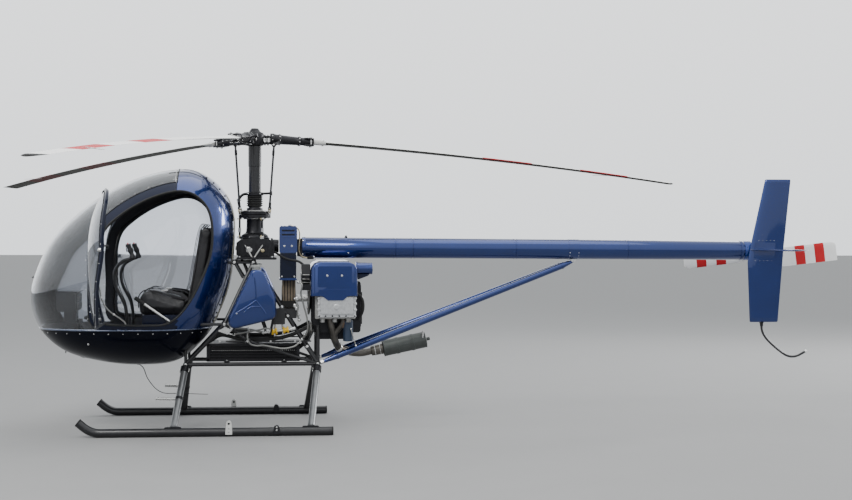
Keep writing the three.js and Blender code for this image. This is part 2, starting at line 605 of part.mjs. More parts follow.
function buildMainRotor() {
  const boot = Array.from({ length: 4 }, (unused, i) => disc(0, 0, 1640 + i * 21, 1653 + i * 21, 60, 16));
  place('mast', 'black', join(
    disc(0, 0, MAST.bottom, HUB.bottom - GAP, MAST.radius),
    ...boot,
    disc(0, 0, 1724, 1748, 64),
    rod([55, 0, 1738], [132, 0, 1742], 9),
  ));
  const arms = ROTOR.azimuths.map((turn) => {
    const geometry = new THREE.BoxGeometry(HUB.armReach, HUB.armWidth, 62);
    geometry.translate(HUB.armReach / 2, 0, 2147);
    geometry.rotateZ(THREE.MathUtils.degToRad(turn));
    return toSolid(geometry);
  });
  place('rotor_hub', 'black', join(disc(0, 0, HUB.bottom, HUB.top, HUB.radius), ...arms, disc(0, 0, HUB.top - 2, 2228, 30)));

  const s = SWASH.rotating;
  const lugs = ROTOR.azimuths.map((turn) => {
    const [x, y] = around(s.lug, turn - ROTOR.hornLag);
    return join(rod([x * 0.7, y * 0.7, 1592], [x, y, 1592], 9), disc(x, y, 1583, 1620, 10, 10));
  });
  const knee = bentTube([[-96, -40, 1596], [-112, -40, 1640], [-118, -32, 1690], [-90, -10, 1728],
    [-60, 0, 1736]], 11, 10, 8);
  place('swashplate_rotating', 'steel', cut(join(disc(0, 0, s.lowZ, s.highZ, s.outer), ...lugs, knee),
    disc(0, 0, 1500, 1780, s.inner)));

  ROTOR.azimuths.forEach((turn, i) => {
    const number = i + 1;
    const spot = (radius, degrees, z) => [...around(radius, degrees), z];
    const horn = spot(ROTOR.linkRadius, turn - ROTOR.hornLag, 2100);
    const low = spot(s.lug, turn - ROTOR.hornLag, 1620 + 3 * GAP);
    place(`grip_${number}`, 'black', join(
      rod(spot(HUB.armReach + 3, turn, 2151), spot(ROTOR.gripEnd, turn, ROTOR.rootZ), 44, 30, 16),
      rod(spot(190, turn, 2145), horn, 12, 12, 8),
      ball(...horn, 15),
      rod(low, horn, 8, 8, 8),
    ));
    const [sx, sy] = around(1, turn);
    const sections = [
      { reach: ROTOR.gripEnd + 2.2, chord: 84, thickness: 40, pitch: 3 },
      { reach: 520, chord: 96, thickness: 36, pitch: 3 },
      { reach: 640, chord: ROTOR.chord, thickness: ROTOR.thickness, pitch: 3 },
      { reach: 1300, chord: ROTOR.chord, thickness: ROTOR.thickness, pitch: 2 },
      { reach: 2000, chord: ROTOR.chord, thickness: ROTOR.thickness, pitch: 1 },
      { reach: 2700, chord: ROTOR.chord, thickness: ROTOR.thickness, pitch: 0 },
      { reach: ROTOR.tip, chord: ROTOR.chord, thickness: ROTOR.thickness - 3, pitch: -1 },
    ].map((section) => ({ ...section, rise: bladeRise(section.reach) }));
    place(`blade_${number}`, 'white', bladeLoft(sections, vec(sx, sy, 0), vec(sy, -sx, 0), vec(0, 0, 1)));
  });
}

const FIN_OUTLINE = [
  [3784, 1226], [3815, 1388], [3920, 1865], [4123, 1865], [4069, 1335], [4024, 762], [3802, 762],
];
const STABILISER = { z0: 1312, z1: 1326 };

function buildTail() {
  const front = [BOOM.front, 0, BOOM.frontZ];
  const rear = [BOOM.rear, 0, BOOM.rearZ];
  const hollow = rod([BOOM.front - 10, 0, BOOM.frontZ], [BOOM.rear + 10, 0, BOOM.rearZ],
    BOOM.frontRadius - BOOM.wall, BOOM.rearRadius - BOOM.wall, 24);
  const strutLug = cut(box(2405, 2455, -18, 18, 1214, 1260), hollow);
  const flange = box(BELT_COVER.rear + GAP, BOOM.front + 4, -76, 76, 1268, 1398);
  const vent = rod([BOOM.front - 60, 0, BOOM.frontZ], [BOOM.front + 20, 0, BOOM.frontZ], 30);
  const tube = cut(rod(front, rear, BOOM.frontRadius, BOOM.rearRadius, 24), hollow);
  place('tail_boom', 'blue', join(tube, strutLug, cut(flange, vent)));

  for (const { name, side } of SIDES) {
    const foot = vec(...at('rear', side));
    const head = vec(2430, side * (18 + 9 + 6 * GAP), 1231);
    const length = head.distanceTo(foot);
    place(`boom_strut_${name}`, 'blue', turned(foot.toArray(), head.toArray(), [
      [FRAME_BALL + GAP, 6], [160, STRUT], [length - 90, STRUT], [length, 9],
    ]));
  }
  const finInner = -BOOM.rearRadius - 0.5;
  place('fin', 'blue', sidePlate(FIN_OUTLINE, finInner - FIN.thickness, finInner));
  const rootY = finInner - FIN.thickness - GAP;
  const stabiliser = new THREE.Shape([[3800, rootY], [4080, rootY], [4140, -470], [3990, -470]].map(
    ([x, y]) => new THREE.Vector2(x, y)));
  const plate = new THREE.ExtrudeGeometry(stabiliser, { depth: STABILISER.z1 - STABILISER.z0, bevelEnabled: false });
  plate.translate(0, 0, STABILISER.z0);
  place('stabiliser', 'blue', toSolid(plate));
  place('tail_skid', 'black', bentTube([[3896, finInner - 15, 762 - 3 * GAP], [3900, finInner - 15, 700],
    [3935, finInner - 15, 635], [4080, finInner - 15, 512], [4130, finInner - 15, 494], [4180, finInner - 15, 499],
    [4252, finInner - 15, 536]], 9, 24, 8));

  const t = TAIL_ROTOR;
  const boreStart = t.y - 95;
  place('tail_gearbox', 'black', cut(join(
    box(3860, 4045, finInner + GAP, 55, 1228, 1335),
    rod([BOOM.rear + GAP, 0, BOOM.rearZ], [3880, 0, 1300], 52),
    rod([t.x, 50, t.z], [t.x, t.y - 60, t.z], 34, 26),
  ), rod([t.x, boreStart, t.z], [t.x, t.y, t.z], 15)));
}

function buildTailRotor() {
  const t = TAIL_ROTOR;
  const boreStart = t.y - 95;
  const tilt = THREE.MathUtils.degToRad(t.tilt);
  const span = vec(Math.cos(tilt), 0, Math.sin(tilt));
  const centre = vec(t.x, t.y, t.z);
  const hubEnd = (side) => centre.clone().addScaledVector(span, side * 95).toArray();
  place('tail_rotor_hub', 'black', join(
    rod([t.x, boreStart + GAP, t.z], [t.x, t.y + 20, t.z], 12),
    rod([t.x, t.y - 30, t.z], [t.x, t.y + 30, t.z], 34),
    rod(hubEnd(PORT), hubEnd(STARBOARD), 20),
  ));
  [PORT, STARBOARD].forEach((side, i) => {
    const direction = span.clone().multiplyScalar(side);
    const lead = vec(-Math.sin(tilt), 0, Math.cos(tilt)).multiplyScalar(side);
    const sections = [
      { reach: 95 + GAP, chord: 60, thickness: 34, pitch: 6 },
      { reach: 170, chord: t.chord, thickness: t.thickness, pitch: 6 },
      { reach: t.tip - 35, chord: t.chord, thickness: t.thickness, pitch: 4 },
      { reach: t.tip, chord: t.chord * 0.72, thickness: t.thickness * 0.7, pitch: 4 },
    ];
    const geometry = toGeometry(bladeLoft(sections, direction, lead, vec(0, 1, 0)));
    geometry.translate(t.x, t.y, t.z);
    place(`tail_blade_${i + 1}`, 'white', toSolid(geometry));
  });
}

buildCabin();
buildDoor('door_left', PORT, DOOR.open);
buildDoor('door_right', STARBOARD, 0);
buildInterior();
buildFrame();
buildTanks();
buildGear();
buildDrive();
buildExhaust();
buildMainRotor();
buildTail();
buildTailRotor();
model.position.set(-ORIGIN.x, -ORIGIN.y, 0);

export default model;
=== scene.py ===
"""Two-seat light helicopter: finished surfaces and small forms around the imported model."""
import math

import bmesh
import bpy
import numpy as np
from mathutils import Matrix, Vector, noise
from mathutils.geometry import delaunay_2d_cdt


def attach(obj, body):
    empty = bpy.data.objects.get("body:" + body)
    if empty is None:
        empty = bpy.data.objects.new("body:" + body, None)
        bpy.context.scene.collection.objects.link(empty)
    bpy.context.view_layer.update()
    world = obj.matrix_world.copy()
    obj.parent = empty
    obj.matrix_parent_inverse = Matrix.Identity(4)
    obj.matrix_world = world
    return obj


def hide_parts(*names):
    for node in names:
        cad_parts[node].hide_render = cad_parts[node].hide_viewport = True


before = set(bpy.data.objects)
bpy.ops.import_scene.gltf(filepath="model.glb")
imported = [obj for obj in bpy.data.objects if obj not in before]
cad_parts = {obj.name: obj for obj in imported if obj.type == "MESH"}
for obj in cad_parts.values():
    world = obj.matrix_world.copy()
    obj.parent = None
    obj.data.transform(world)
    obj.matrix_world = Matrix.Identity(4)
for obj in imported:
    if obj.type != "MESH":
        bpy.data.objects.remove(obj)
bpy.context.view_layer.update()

# Positions below are millimetres from the foot of the mast: X aft, Y to starboard, Z up
ORIGIN = np.array([1167.0, -310.0, 0.0])
MM = 0.001
PORT, STARBOARD = -1, 1
SIDES = (("left", PORT), ("right", STARBOARD))

# Camera fitted to the photograph of 852 by 500 pixels, in metres and degrees
IMAGE_WIDTH = 852
CAMERA = {"place": (-1.02505, -11.00001, 1.43682), "yaw": -5.8264, "pitch": 0.6128, "roll": -0.1236,
          "focal": 1493.28}
SENSOR = 36.0

# Studio: sky tones by height, the far wall's glow, and the lights (name, place, target, size, watts, tint)
SKY_BANDS = [
    (0.0, (0.44, 0.455, 0.47)), (0.12, (0.50, 0.51, 0.52)), (0.30, (0.56, 0.58, 0.60)),
    (0.80, (0.60, 0.62, 0.63)),
]
WALL_LEAN = -1.2
WALL_GLOW = {"From Min": 0.25, "From Max": 0.75, "To Min": 2.2, "To Max": 3.4}
NEUTRAL, WARM = (1, 1, 1), (1.0, 0.98, 0.95)
LIGHTS = [
    ("key", (-4.5, -6.5, 7.5), (-1.0, 0.0, 1.0), (4.5, 3.0), 600, WARM),
    ("over", (1.0, 0.5, 9.0), (0.4, 0.3, 1.0), (9.0, 5.0), 240, NEUTRAL),
    ("back", (5.5, 7.5, 5.0), (0.0, 0.3, 1.0), (5.0, 3.0), 120, NEUTRAL),
    ("shell", (11.0, 5.4, 5.2), (-1.4, 0.0, 1.5), (2.2, 5.0), 900, NEUTRAL),
]
FLOOR_REACH = 90.0


def metres(points):
    """Millimetre places in the mast frame as metre places in the part's frame."""
    return (np.asarray(points, float) - ORIGIN) * MM


def unit(vector):
    vector = np.asarray(vector, float)
    return vector / np.linalg.norm(vector)


# Camera, world, lights and floor
def make_camera():
    yaw, pitch, roll = (math.radians(CAMERA[key]) for key in ("yaw", "pitch", "roll"))
    ahead = np.array([-math.sin(yaw) * math.cos(pitch), math.cos(yaw) * math.cos(pitch), -math.sin(pitch)])
    level = np.array([math.cos(yaw), math.sin(yaw), 0.0])
    down = np.cross(ahead, level)
    right = math.cos(roll) * level + math.sin(roll) * down
    down = math.cos(roll) * down - math.sin(roll) * level
    data = bpy.data.cameras.new("photo_camera")
    data.sensor_fit = "HORIZONTAL"
    data.sensor_width = SENSOR
    data.lens = CAMERA["focal"] / IMAGE_WIDTH * SENSOR
    data.clip_end = 400.0
    camera = bpy.data.objects.new("photo_camera", data)
    bpy.context.scene.collection.objects.link(camera)
    turn = Matrix((right, -down, -ahead)).transposed().to_4x4()
    camera.matrix_world = Matrix.Translation(CAMERA["place"]) @ turn
    bpy.context.scene.camera = camera


def set_ramp(ramp, stops):
    """Gives a colour ramp its stops, each a place and a colour."""
    elements = ramp.color_ramp.elements
    for element, (place, tone) in ((elements[0], stops[0]), (elements[1], stops[-1])):
        element.position, element.color = place, (*tone, 1)
    for place, tone in stops[1:-1]:
        elements.new(place).color = (*tone, 1)


def make_world():
    world = bpy.data.worlds.new("studio")
    bpy.context.scene.world = world
    world.use_nodes = True
    tree = world.node_tree
    back = tree.nodes["Background"]
    coord = tree.nodes.new("ShaderNodeTexCoord")
    split = tree.nodes.new("ShaderNodeSeparateXYZ")
    ramp = tree.nodes.new("ShaderNodeValToRGB")
    tree.links.new(coord.outputs["Generated"], split.inputs[0])
    tree.links.new(split.outputs["Z"], ramp.inputs["Fac"])
    tree.links.new(ramp.outputs["Color"], back.inputs["Color"])
    set_ramp(ramp, SKY_BANDS)
    low = tree.nodes.new("ShaderNodeMath")
    low.operation = "MULTIPLY_ADD"
    tree.links.new(split.outputs["Z"], low.inputs[0])
    low.inputs[1].default_value = WALL_LEAN
    tree.links.new(split.outputs["Y"], low.inputs[2])
    wall = tree.nodes.new("ShaderNodeMapRange")
    tree.links.new(low.outputs[0], wall.inputs["Value"])
    for name, value in WALL_GLOW.items():
        wall.inputs[name].default_value = value
    tree.links.new(wall.outputs["Result"], back.inputs["Strength"])


def area_light(name, place, target, size, power, tint):
    data = bpy.data.lights.new(name, "AREA")
    data.shape = "RECTANGLE"
    data.size, data.size_y = size
    data.energy = power
    data.color = tint
    light = bpy.data.objects.new(name, data)
    bpy.context.scene.collection.objects.link(light)
    light.location = place
    light.rotation_euler = (Vector(target) - Vector(place)).to_track_quat("-Z", "Y").to_euler()


def make_floor():
    mesh = bpy.data.meshes.new("floor")
    corners = [(x * FLOOR_REACH, y * FLOOR_REACH, 0) for x, y in ((-1, -1), (1, -1), (1, 1), (-1, 1))]
    mesh.from_pydata(corners, [], [(0, 1, 2, 3)])
    floor = bpy.data.objects.new("floor", mesh)
    bpy.context.scene.collection.objects.link(floor)
    mesh.materials.append(finish("floor_paint", (0.25, 0.25, 0.25), rough=0.9, spread=0.03, grain=3.0))


# Materials
CLOUD_LOW, CLOUD_HIGH = 0.3, 0.7
FLAKE_SCALE = 2600.0
FLAKE_LIMITS = (0.58, 0.72)
SPOT_LIMITS = (0.62, 0.72)
BUMP_HEIGHT = 0.001
DARK, LIGHT = (0, 0, 0), (1, 1, 1)


def finish(name, color, metal=0.0, rough=0.5, coat=0.0, coat_rough=0.04, spread=0.06, grain=60.0,
           rough_spread=0.06, bump=0.0, bump_scale=900.0, spot=None, spot_share=0.0, spot_scale=25.0,
           clear=0.0, ior=1.45, sheen=0.0, flake=0.0):
    """A procedural finish: colour, roughness and height vary with the place on the object."""
    material = bpy.data.materials.new(name)
    material.use_nodes = True
    tree = material.node_tree
    shader = tree.nodes["Principled BSDF"]
    link = tree.links.new
    coord = tree.nodes.new("ShaderNodeTexCoord")

    def noise_of(scale, detail=3.0):
        node = tree.nodes.new("ShaderNodeTexNoise")
        node.inputs["Scale"].default_value = scale
        node.inputs["Detail"].default_value = detail
        link(coord.outputs["Object"], node.inputs["Vector"])
        return node

    def ramp_of(source, stops):
        node = tree.nodes.new("ShaderNodeValToRGB")
        link(source, node.inputs["Fac"])
        set_ramp(node, stops)
        return node

    def mix_over(source, blend):
        node = tree.nodes.new("ShaderNodeMix")
        node.data_type = "RGBA"
        node.blend_type = blend
        link(source, node.inputs["A"])
        return node

    low = tuple(max(c * (1 - spread), 0.0) for c in color)
    high = tuple(min(c * (1 + spread), 1.0) for c in color)
    cloud = noise_of(grain)
    tone = ramp_of(cloud.outputs["Fac"], [(CLOUD_LOW, low), (CLOUD_HIGH, high)])
    base = tone.outputs["Color"]
    if flake:
        specks = noise_of(FLAKE_SCALE, 1.0)
        glint = ramp_of(specks.outputs["Fac"], list(zip(FLAKE_LIMITS, (DARK, LIGHT))))
        mix = mix_over(base, "ADD")
        mix.inputs[0].default_value = flake
        link(glint.outputs["Color"], mix.inputs["B"])
        base = mix.outputs["Result"]
    if spot:
        patch = noise_of(spot_scale, 5.0)
        stops = [(limit - spot_share, tone) for limit, tone in zip(SPOT_LIMITS, (DARK, LIGHT))]
        cover = ramp_of(patch.outputs["Fac"], stops)
        mix = mix_over(base, "MIX")
        link(cover.outputs["Color"], mix.inputs[0])
        mix.inputs["B"].default_value = (*spot, 1)
        base = mix.outputs["Result"]
    link(base, shader.inputs["Base Color"])
    shader.inputs["Metallic"].default_value = metal
    dull = tree.nodes.new("ShaderNodeMapRange")
    link(cloud.outputs["Fac"], dull.inputs["Value"])
    limits = {"From Min": CLOUD_LOW, "From Max": CLOUD_HIGH, "To Min": max(rough - rough_spread, 0.0),
              "To Max": min(rough + rough_spread, 1.0)}
    for name, value in limits.items():
        dull.inputs[name].default_value = value
    link(dull.outputs["Result"], shader.inputs["Roughness"])
    fixed = {"Coat Weight": coat, "Coat Roughness": coat_rough, "IOR": ior, "Transmission Weight": clear,
             "Sheen Weight": sheen}
    for name, value in fixed.items():
        shader.inputs[name].default_value = value
    if bump:
        height = tree.nodes.new("ShaderNodeBump")
        link(noise_of(bump_scale, 2.0).outputs["Fac"], height.inputs["Height"])
        height.inputs["Strength"].default_value = bump
        height.inputs["Distance"].default_value = BUMP_HEIGHT
        link(height.outputs["Normal"], shader.inputs["Normal"])
    return material


BLUE = finish("blue_metallic", (0.0065, 0.027, 0.145), metal=0.78, rough=0.24, coat=1.0, coat_rough=0.03,
              spread=0.05, grain=5.0, rough_spread=0.03, flake=0.02)
NAVY = finish("navy_gloss", (0.003, 0.006, 0.022), metal=0.1, rough=0.24, coat=0.35, coat_rough=0.03,
              spread=0.08, grain=4.0, rough_spread=0.04, ior=1.28, flake=0.002)
TUB_BLACK = finish("tub_gloss", (0.002, 0.003, 0.008), rough=0.22, coat=0.12, coat_rough=0.03, spread=0.10,
                   grain=4.0, rough_spread=0.04, ior=1.15)
LINING = finish("cabin_lining", (0.020, 0.021, 0.025), rough=0.75, spread=0.15, grain=90.0, bump=0.25,
                bump_scale=700.0)
ACRYLIC = finish("clear_acrylic", (0.70, 0.73, 0.79), rough=0.02, spread=0.01, grain=2.0, rough_spread=0.01,
                 clear=1.0, ior=1.49, coat=0.6, coat_rough=0.01)
BLACK = finish("black_satin_steel", (0.012, 0.012, 0.014), metal=0.1, rough=0.34, coat=0.35,
               coat_rough=0.15, spread=0.25, grain=30.0, bump=0.08, bump_scale=600.0)
BLACK_ALLOY = finish("black_anodised", (0.018, 0.018, 0.021), metal=0.55, rough=0.42, spread=0.25,
                     grain=45.0, bump=0.12, bump_scale=500.0)
CAST = finish("cast_alloy", (0.36, 0.36, 0.35), metal=0.85, rough=0.48, spread=0.15, grain=40.0, bump=0.35,
              bump_scale=420.0, spot=(0.14, 0.13, 0.12), spot_share=0.02, spot_scale=18.0)
MACHINED = finish("machined_alloy", (0.62, 0.62, 0.61), metal=0.95, rough=0.28, spread=0.08, grain=50.0,
                  bump=0.08, bump_scale=700.0)
SILVER_LEG = finish("silver_leg_paint", (0.17, 0.175, 0.18), metal=0.7, rough=0.34, spread=0.12, grain=18.0,
                    bump=0.1, bump_scale=300.0, spot=(0.10, 0.10, 0.10), spot_scale=9.0)
EXHAUST = finish("exhaust_steel", (0.11, 0.102, 0.092), metal=0.85, rough=0.45, spread=0.25, grain=16.0,
                 bump=0.2, bump_scale=260.0, spot=(0.10, 0.065, 0.045), spot_share=0.03, spot_scale=11.0)
MUFFLER_SKIN = finish("muffler_skin", (0.075, 0.082, 0.078), metal=0.6, spread=0.2, grain=14.0, bump=0.2,
                      bump_scale=240.0, spot=(0.06, 0.05, 0.045), spot_scale=10.0)
WHITE = finish("rotor_white", (0.86, 0.86, 0.85), rough=0.45, coat=0.1, coat_rough=0.1, spread=0.02,
               grain=12.0, bump=0.04, ior=1.3)
RED = finish("rotor_red", (0.50, 0.018, 0.024), coat=0.05, coat_rough=0.1, spread=0.06, grain=12.0,
             bump=0.04, ior=1.25)
# Blade undersides: darker copies of the white and the red, painted shade for the faces turned away from the
# light
UNDERSIDE_WHITE_SHADED = finish("rotor_underside_white_painted_shade", (0.042, 0.042, 0.037), spread=0.10, grain=14.0, bump=0.05, ior=1.25)
UNDERSIDE_RED_SHADED = finish("rotor_underside_red_painted_shade", (0.085, 0.012, 0.011), spread=0.10, grain=14.0, bump=0.05, ior=1.25)
RUBBER = finish("black_rubber", (0.013, 0.013, 0.013), rough=0.72, spread=0.2, grain=80.0, bump=0.3)
PLASTIC = finish("black_plastic", (0.020, 0.020, 0.022), spread=0.12, grain=120.0, bump=0.35,
                 bump_scale=1400.0)
LEATHER = finish("black_leather", (0.010, 0.010, 0.012), rough=0.44, spread=0.12, grain=70.0, bump=0.5,
                 bump_scale=520.0, sheen=0.08)
BELT = finish("belt_brown", (0.17, 0.135, 0.095), rough=0.62, spread=0.12, grain=30.0, bump=0.2,
              bump_scale=500.0)
YELLOW = finish("yellow_fitting", (0.72, 0.46, 0.03), metal=0.3, rough=0.35, spread=0.1, bump=0.1)
HOSE = finish("silver_braid", (0.26, 0.26, 0.25), metal=0.8, rough=0.36, spread=0.2, grain=300.0, bump=0.5,
              bump_scale=1500.0)
GLASS_DIAL = finish("dial_glass", (0.02, 0.022, 0.025), rough=0.08, coat=1.0, coat_rough=0.02, spread=0.1,
                    grain=30.0)
DIAL_MARK = finish("dial_marks", (0.75, 0.75, 0.70), spread=0.05, grain=80.0)
BRASS = finish("cad_plated", (0.55, 0.47, 0.30), metal=0.9, rough=0.35, spread=0.15, grain=70.0, bump=0.1)
FABRIC = finish("belt_webbing", (0.012, 0.012, 0.014), rough=0.8, spread=0.2, grain=400.0, bump=0.6,
                bump_scale=1800.0, sheen=0.05)
# Near-black fill for slots, bores and open ends: painted shade standing in for their shadowed hollows
SHADE_FILL_OPENINGS = finish("painted_shade_openings", (0.004, 0.004, 0.004), rough=0.9, spread=0.2, bump=0.1)
CREAM = finish("edge_cream", (0.42, 0.40, 0.30), spread=0.1, bump=0.1)
# Waist lip: a lighter blue-grey than the tub, a painted highlight for the sky catching its top edge
WAIST_LIP_LIT_TINT = finish("waist_lip_painted_highlight", (0.06, 0.08, 0.14), metal=0.5, rough=0.28, coat=1.0, spread=0.08,
                   grain=12.0)
CARPET = finish("floor_carpet", (0.030, 0.030, 0.033), rough=0.92, spread=0.3, grain=500.0, bump=0.8,
                bump_scale=1500.0, sheen=0.2)
LEATHER_EDGE = finish("leather_piping", (0.016, 0.016, 0.018), spread=0.12, grain=90.0, bump=0.4,
                      bump_scale=700.0)
CAP_GREY = finish("cap_grey", (0.33, 0.34, 0.33), metal=0.3, rough=0.45, spread=0.1, bump=0.2)
LUG_PAINT = finish("lug_light", (0.62, 0.62, 0.60), metal=0.3, rough=0.45, spread=0.08, bump=0.1)
STEP_GRIT = finish("step_grit", (0.55, 0.55, 0.53), metal=0.4, rough=0.6, spread=0.2, grain=200.0, bump=0.5)
FILTER_BLUE = finish("filter_dark", (0.015, 0.03, 0.06), metal=0.2, rough=0.4, coat=0.4, spread=0.1,
                     grain=40.0)
COPPER = finish("copper_brown", (0.14, 0.10, 0.075), metal=0.7, spread=0.2, grain=40.0, bump=0.2)
SILVER_CAST = finish("silver_cast", (0.50, 0.51, 0.52), metal=0.75, rough=0.42, spread=0.10, grain=50.0,
                     bump=0.3, bump_scale=380.0)
DARK_TIP = finish("blade_tip_cap", (0.05, 0.05, 0.05), metal=0.4, rough=0.4, spread=0.1, grain=40.0,
                  bump=0.1)
BLADE_ROOT = finish("blade_root_light", (0.55, 0.55, 0.53), metal=0.3, rough=0.4, spread=0.1, grain=30.0,
                    bump=0.1)
BLUE_BRIGHT = finish("collar_blue", (0.010, 0.045, 0.24), metal=0.6, rough=0.3, coat=1.0, spread=0.05,
                     grain=20.0)


# Curves
def spline(points, closed=False, step=15.0):
    """Evenly spaced places on a centripetal curve through the given ones."""
    knots = np.asarray(points, float)
    fine = 24
    count = len(knots)
    dense = []
    for i in range(count if closed else count - 1):
        if closed:
            a, b, c, d = (knots[(i + k) % count] for k in (-1, 0, 1, 2))
        else:
            b, c = knots[i], knots[i + 1]
            a = knots[i - 1] if i else 2 * b - c
            d = knots[i + 2] if i + 2 < count else 2 * c - b
        gaps = [max(math.sqrt(np.linalg.norm(q - p)), 1e-6) for p, q in ((a, b), (b, c), (c, d))]
        lead = ((b - a) / gaps[0] - (c - a) / (gaps[0] + gaps[1]) + (c - b) / gaps[1]) * gaps[1]
        tail = ((c - b) / gaps[1] - (d - b) / (gaps[1] + gaps[2]) + (d - c) / gaps[2]) * gaps[1]
        for t in np.linspace(0, 1, fine, endpoint=False):
            dense.append(b * (2 * t**3 - 3 * t**2 + 1) + lead * (t**3 - 2 * t**2 + t)
                         + c * (3 * t**2 - 2 * t**3) + tail * (t**3 - t**2))
    dense.append(knots[0] if closed else knots[-1])
    dense = np.array(dense)
    reach = np.concatenate([[0], np.cumsum(np.linalg.norm(np.diff(dense, axis=0), axis=1))])
    steps = max(int(round(reach[-1] / step)), 2)
    stops = np.linspace(0, reach[-1], steps + 1)
    if closed:
        stops = stops[:-1]
    return np.stack([np.interp(stops, reach, dense[:, k]) for k in range(dense.shape[1])], axis=1)


def smooth(value, low, high):
    t = np.clip((value - low) / (high - low), 0, 1)
    return t * t * (3 - 2 * t)


# Simple bodies, each as (places, faces), in millimetres
def side_frame(axis):
    """Two directions square to an axis."""
    axis = unit(axis)
    other = np.array([0.0, 0.0, 1.0]) if abs(axis[2]) < 0.9 else np.array([1.0, 0.0, 0.0])
    across = unit(np.cross(other, axis))
    return across, np.cross(axis, across)


def rings_to_faces(count, sides, closed=False, caps=True):
    faces = []
    for r in range(count if closed else count - 1):
        s = (r + 1) % count
        for i in range(sides):
            j = (i + 1) % sides
            faces.append((r * sides + i, r * sides + j, s * sides + j, s * sides + i))
    if caps and not closed:
        faces.append(tuple(range(sides))[::-1])
        faces.append(tuple((count - 1) * sides + i for i in range(sides)))
    return faces


def lathe(start, towards, profile, sides=24):
    """A round body about a line; the profile lists distance along it and radius."""
    start = np.asarray(start, float)
    axis = unit(np.asarray(towards, float) - start)
    across, up = side_frame(axis)
    angles = np.linspace(0, 2 * math.pi, sides, endpoint=False)
    circle = np.outer(np.cos(angles), across) + np.outer(np.sin(angles), up)
    places = [start + axis * distance + circle * max(radius, 0.02) for distance, radius in profile]
    return np.concatenate(places), rings_to_faces(len(profile), sides)


def bar(start, end, radius, end_radius=None, sides=20, edge=1.5):
    """A straight round bar with slightly rounded ends."""
    length = np.linalg.norm(np.asarray(end, float) - np.asarray(start, float))
    last = radius if end_radius is None else end_radius
    edge = min(edge, radius * 0.4, last * 0.4, length * 0.2)
    return lathe(start, end, [(0, radius - edge), (edge, radius), (length - edge, last),
                              (length, last - edge)], sides)


def tube(path, radius, sides=16, closed=False):
    """A round tube along a path; radius is one number or one for each place."""
    path = np.asarray(path, float)
    count = len(path)
    radii = np.full(count, radius, float) if np.isscalar(radius) else np.asarray(radius, float)
    if closed:
        along = np.roll(path, -1, axis=0) - np.roll(path, 1, axis=0)
    else:
        along = np.gradient(path, axis=0)
    along /= np.linalg.norm(along, axis=1)[:, None]
    across, up = side_frame(along[0])
    angles = np.linspace(0, 2 * math.pi, sides, endpoint=False)
    places = []
    for i in range(count):
        across = unit(across - along[i] * np.dot(across, along[i]))
        up = np.cross(along[i], across)
        circle = np.outer(np.cos(angles), across) + np.outer(np.sin(angles), up)
        places.append(path[i] + radii[i] * circle)
    places = np.concatenate(places)
    faces = rings_to_faces(count, sides, closed)
    if closed:
        turn = places[-sides:] - path[-1]
        first = places[:sides] - path[0]
        shift = int(np.argmin([np.linalg.norm(np.roll(first, -k, axis=0) - turn) for k in range(sides)]))
        faces = faces[:-sides]
        last = (count - 1) * sides
        for i in range(sides):
            j = (i + 1) % sides
            faces.append((last + i, last + j, (j + shift) % sides, (i + shift) % sides))
    return places, faces


def block(x0, x1, y0, y1, z0, z1):
    places = np.array([(x, y, z) for x in (x0, x1) for y in (y0, y1) for z in (z0, z1)], float)
    return places, [(0, 1, 3, 2), (4, 6, 7, 5), (0, 4, 5, 1), (2, 3, 7, 6), (0, 2, 6, 4), (1, 5, 7, 3)]


def prism(outline, y0, y1):
    """A side-view outline, as X and Z, made thick along Y."""
    outline = np.asarray(outline, float)
    count = len(outline)
    places = np.array([(x, y, z) for y in sorted((y0, y1)) for x, z in outline])
    faces = [tuple(range(count)), tuple(range(count, 2 * count))[::-1]]
    faces += [(i, (i + 1) % count, count + (i + 1) % count, count + i) for i in range(count)]
    return places, faces


def rounded(outline, radius, steps=4):
    """A closed outline with each corner rounded."""
    outline = np.asarray(outline, float)
    count = len(outline)
    out = []
    for i in range(count):
        before, here, after = outline[i - 1], outline[i], outline[(i + 1) % count]
        back, on = before - here, after - here
        reach = min(radius, np.linalg.norm(back) * 0.45, np.linalg.norm(on) * 0.45)
        a, b = here + unit(back) * reach, here + unit(on) * reach
        for t in np.linspace(0, 1, steps + 1):
            out.append(a * (1 - t) ** 2 + here * 2 * t * (1 - t) + b * t * t)
    return np.array(out)


def rect(x0, x1, z0, z1):
    return [(x0, z0), (x1, z0), (x1, z1), (x0, z1)]


def plate(x0, x1, y0, y1, z0, z1, radius):
    """A block whose four corners are rounded in side view."""
    return prism(rounded(rect(x0, x1, z0, z1), radius), y0, y1)


def ring_plate(z0, z1, inner, outer, sides=64, edge=2.0, centre=(0, 0, 0)):
    """A level ring with an open bore."""
    angles = np.linspace(0, 2 * math.pi, sides, endpoint=False)
    circle = np.stack([np.cos(angles), np.sin(angles), np.zeros(sides)], axis=1)
    rings = [circle * radius + (0, 0, z) + centre
             for radius, z in ((inner, z0), (inner, z1), (outer - edge, z1), (outer, z1 - edge),
                               (outer, z0 + edge), (outer - edge, z0))]
    return np.concatenate(rings), rings_to_faces(len(rings), sides, closed=True)


def collar(place, along, inner, outer, width, sides, edge=1.0):
    """A round band, centred on a place, about a line along a bar."""
    profile = [(0, inner), (edge, outer), (width - edge, outer), (width, inner)]
    return lathe(place - along * width / 2, place, profile, sides)


def ball(centre, radius, sides=16, rings=9):
    angles = np.linspace(0, math.pi, rings)
    profile = [(radius - radius * math.cos(a), radius * math.sin(a)) for a in angles]
    centre = np.asarray(centre, float)
    return lathe(centre - (0, 0, radius), centre, profile, sides)


def polar(radius, degrees, z=0.0):
    angle = math.radians(degrees)
    return np.array([radius * math.cos(angle), radius * math.sin(angle), z])


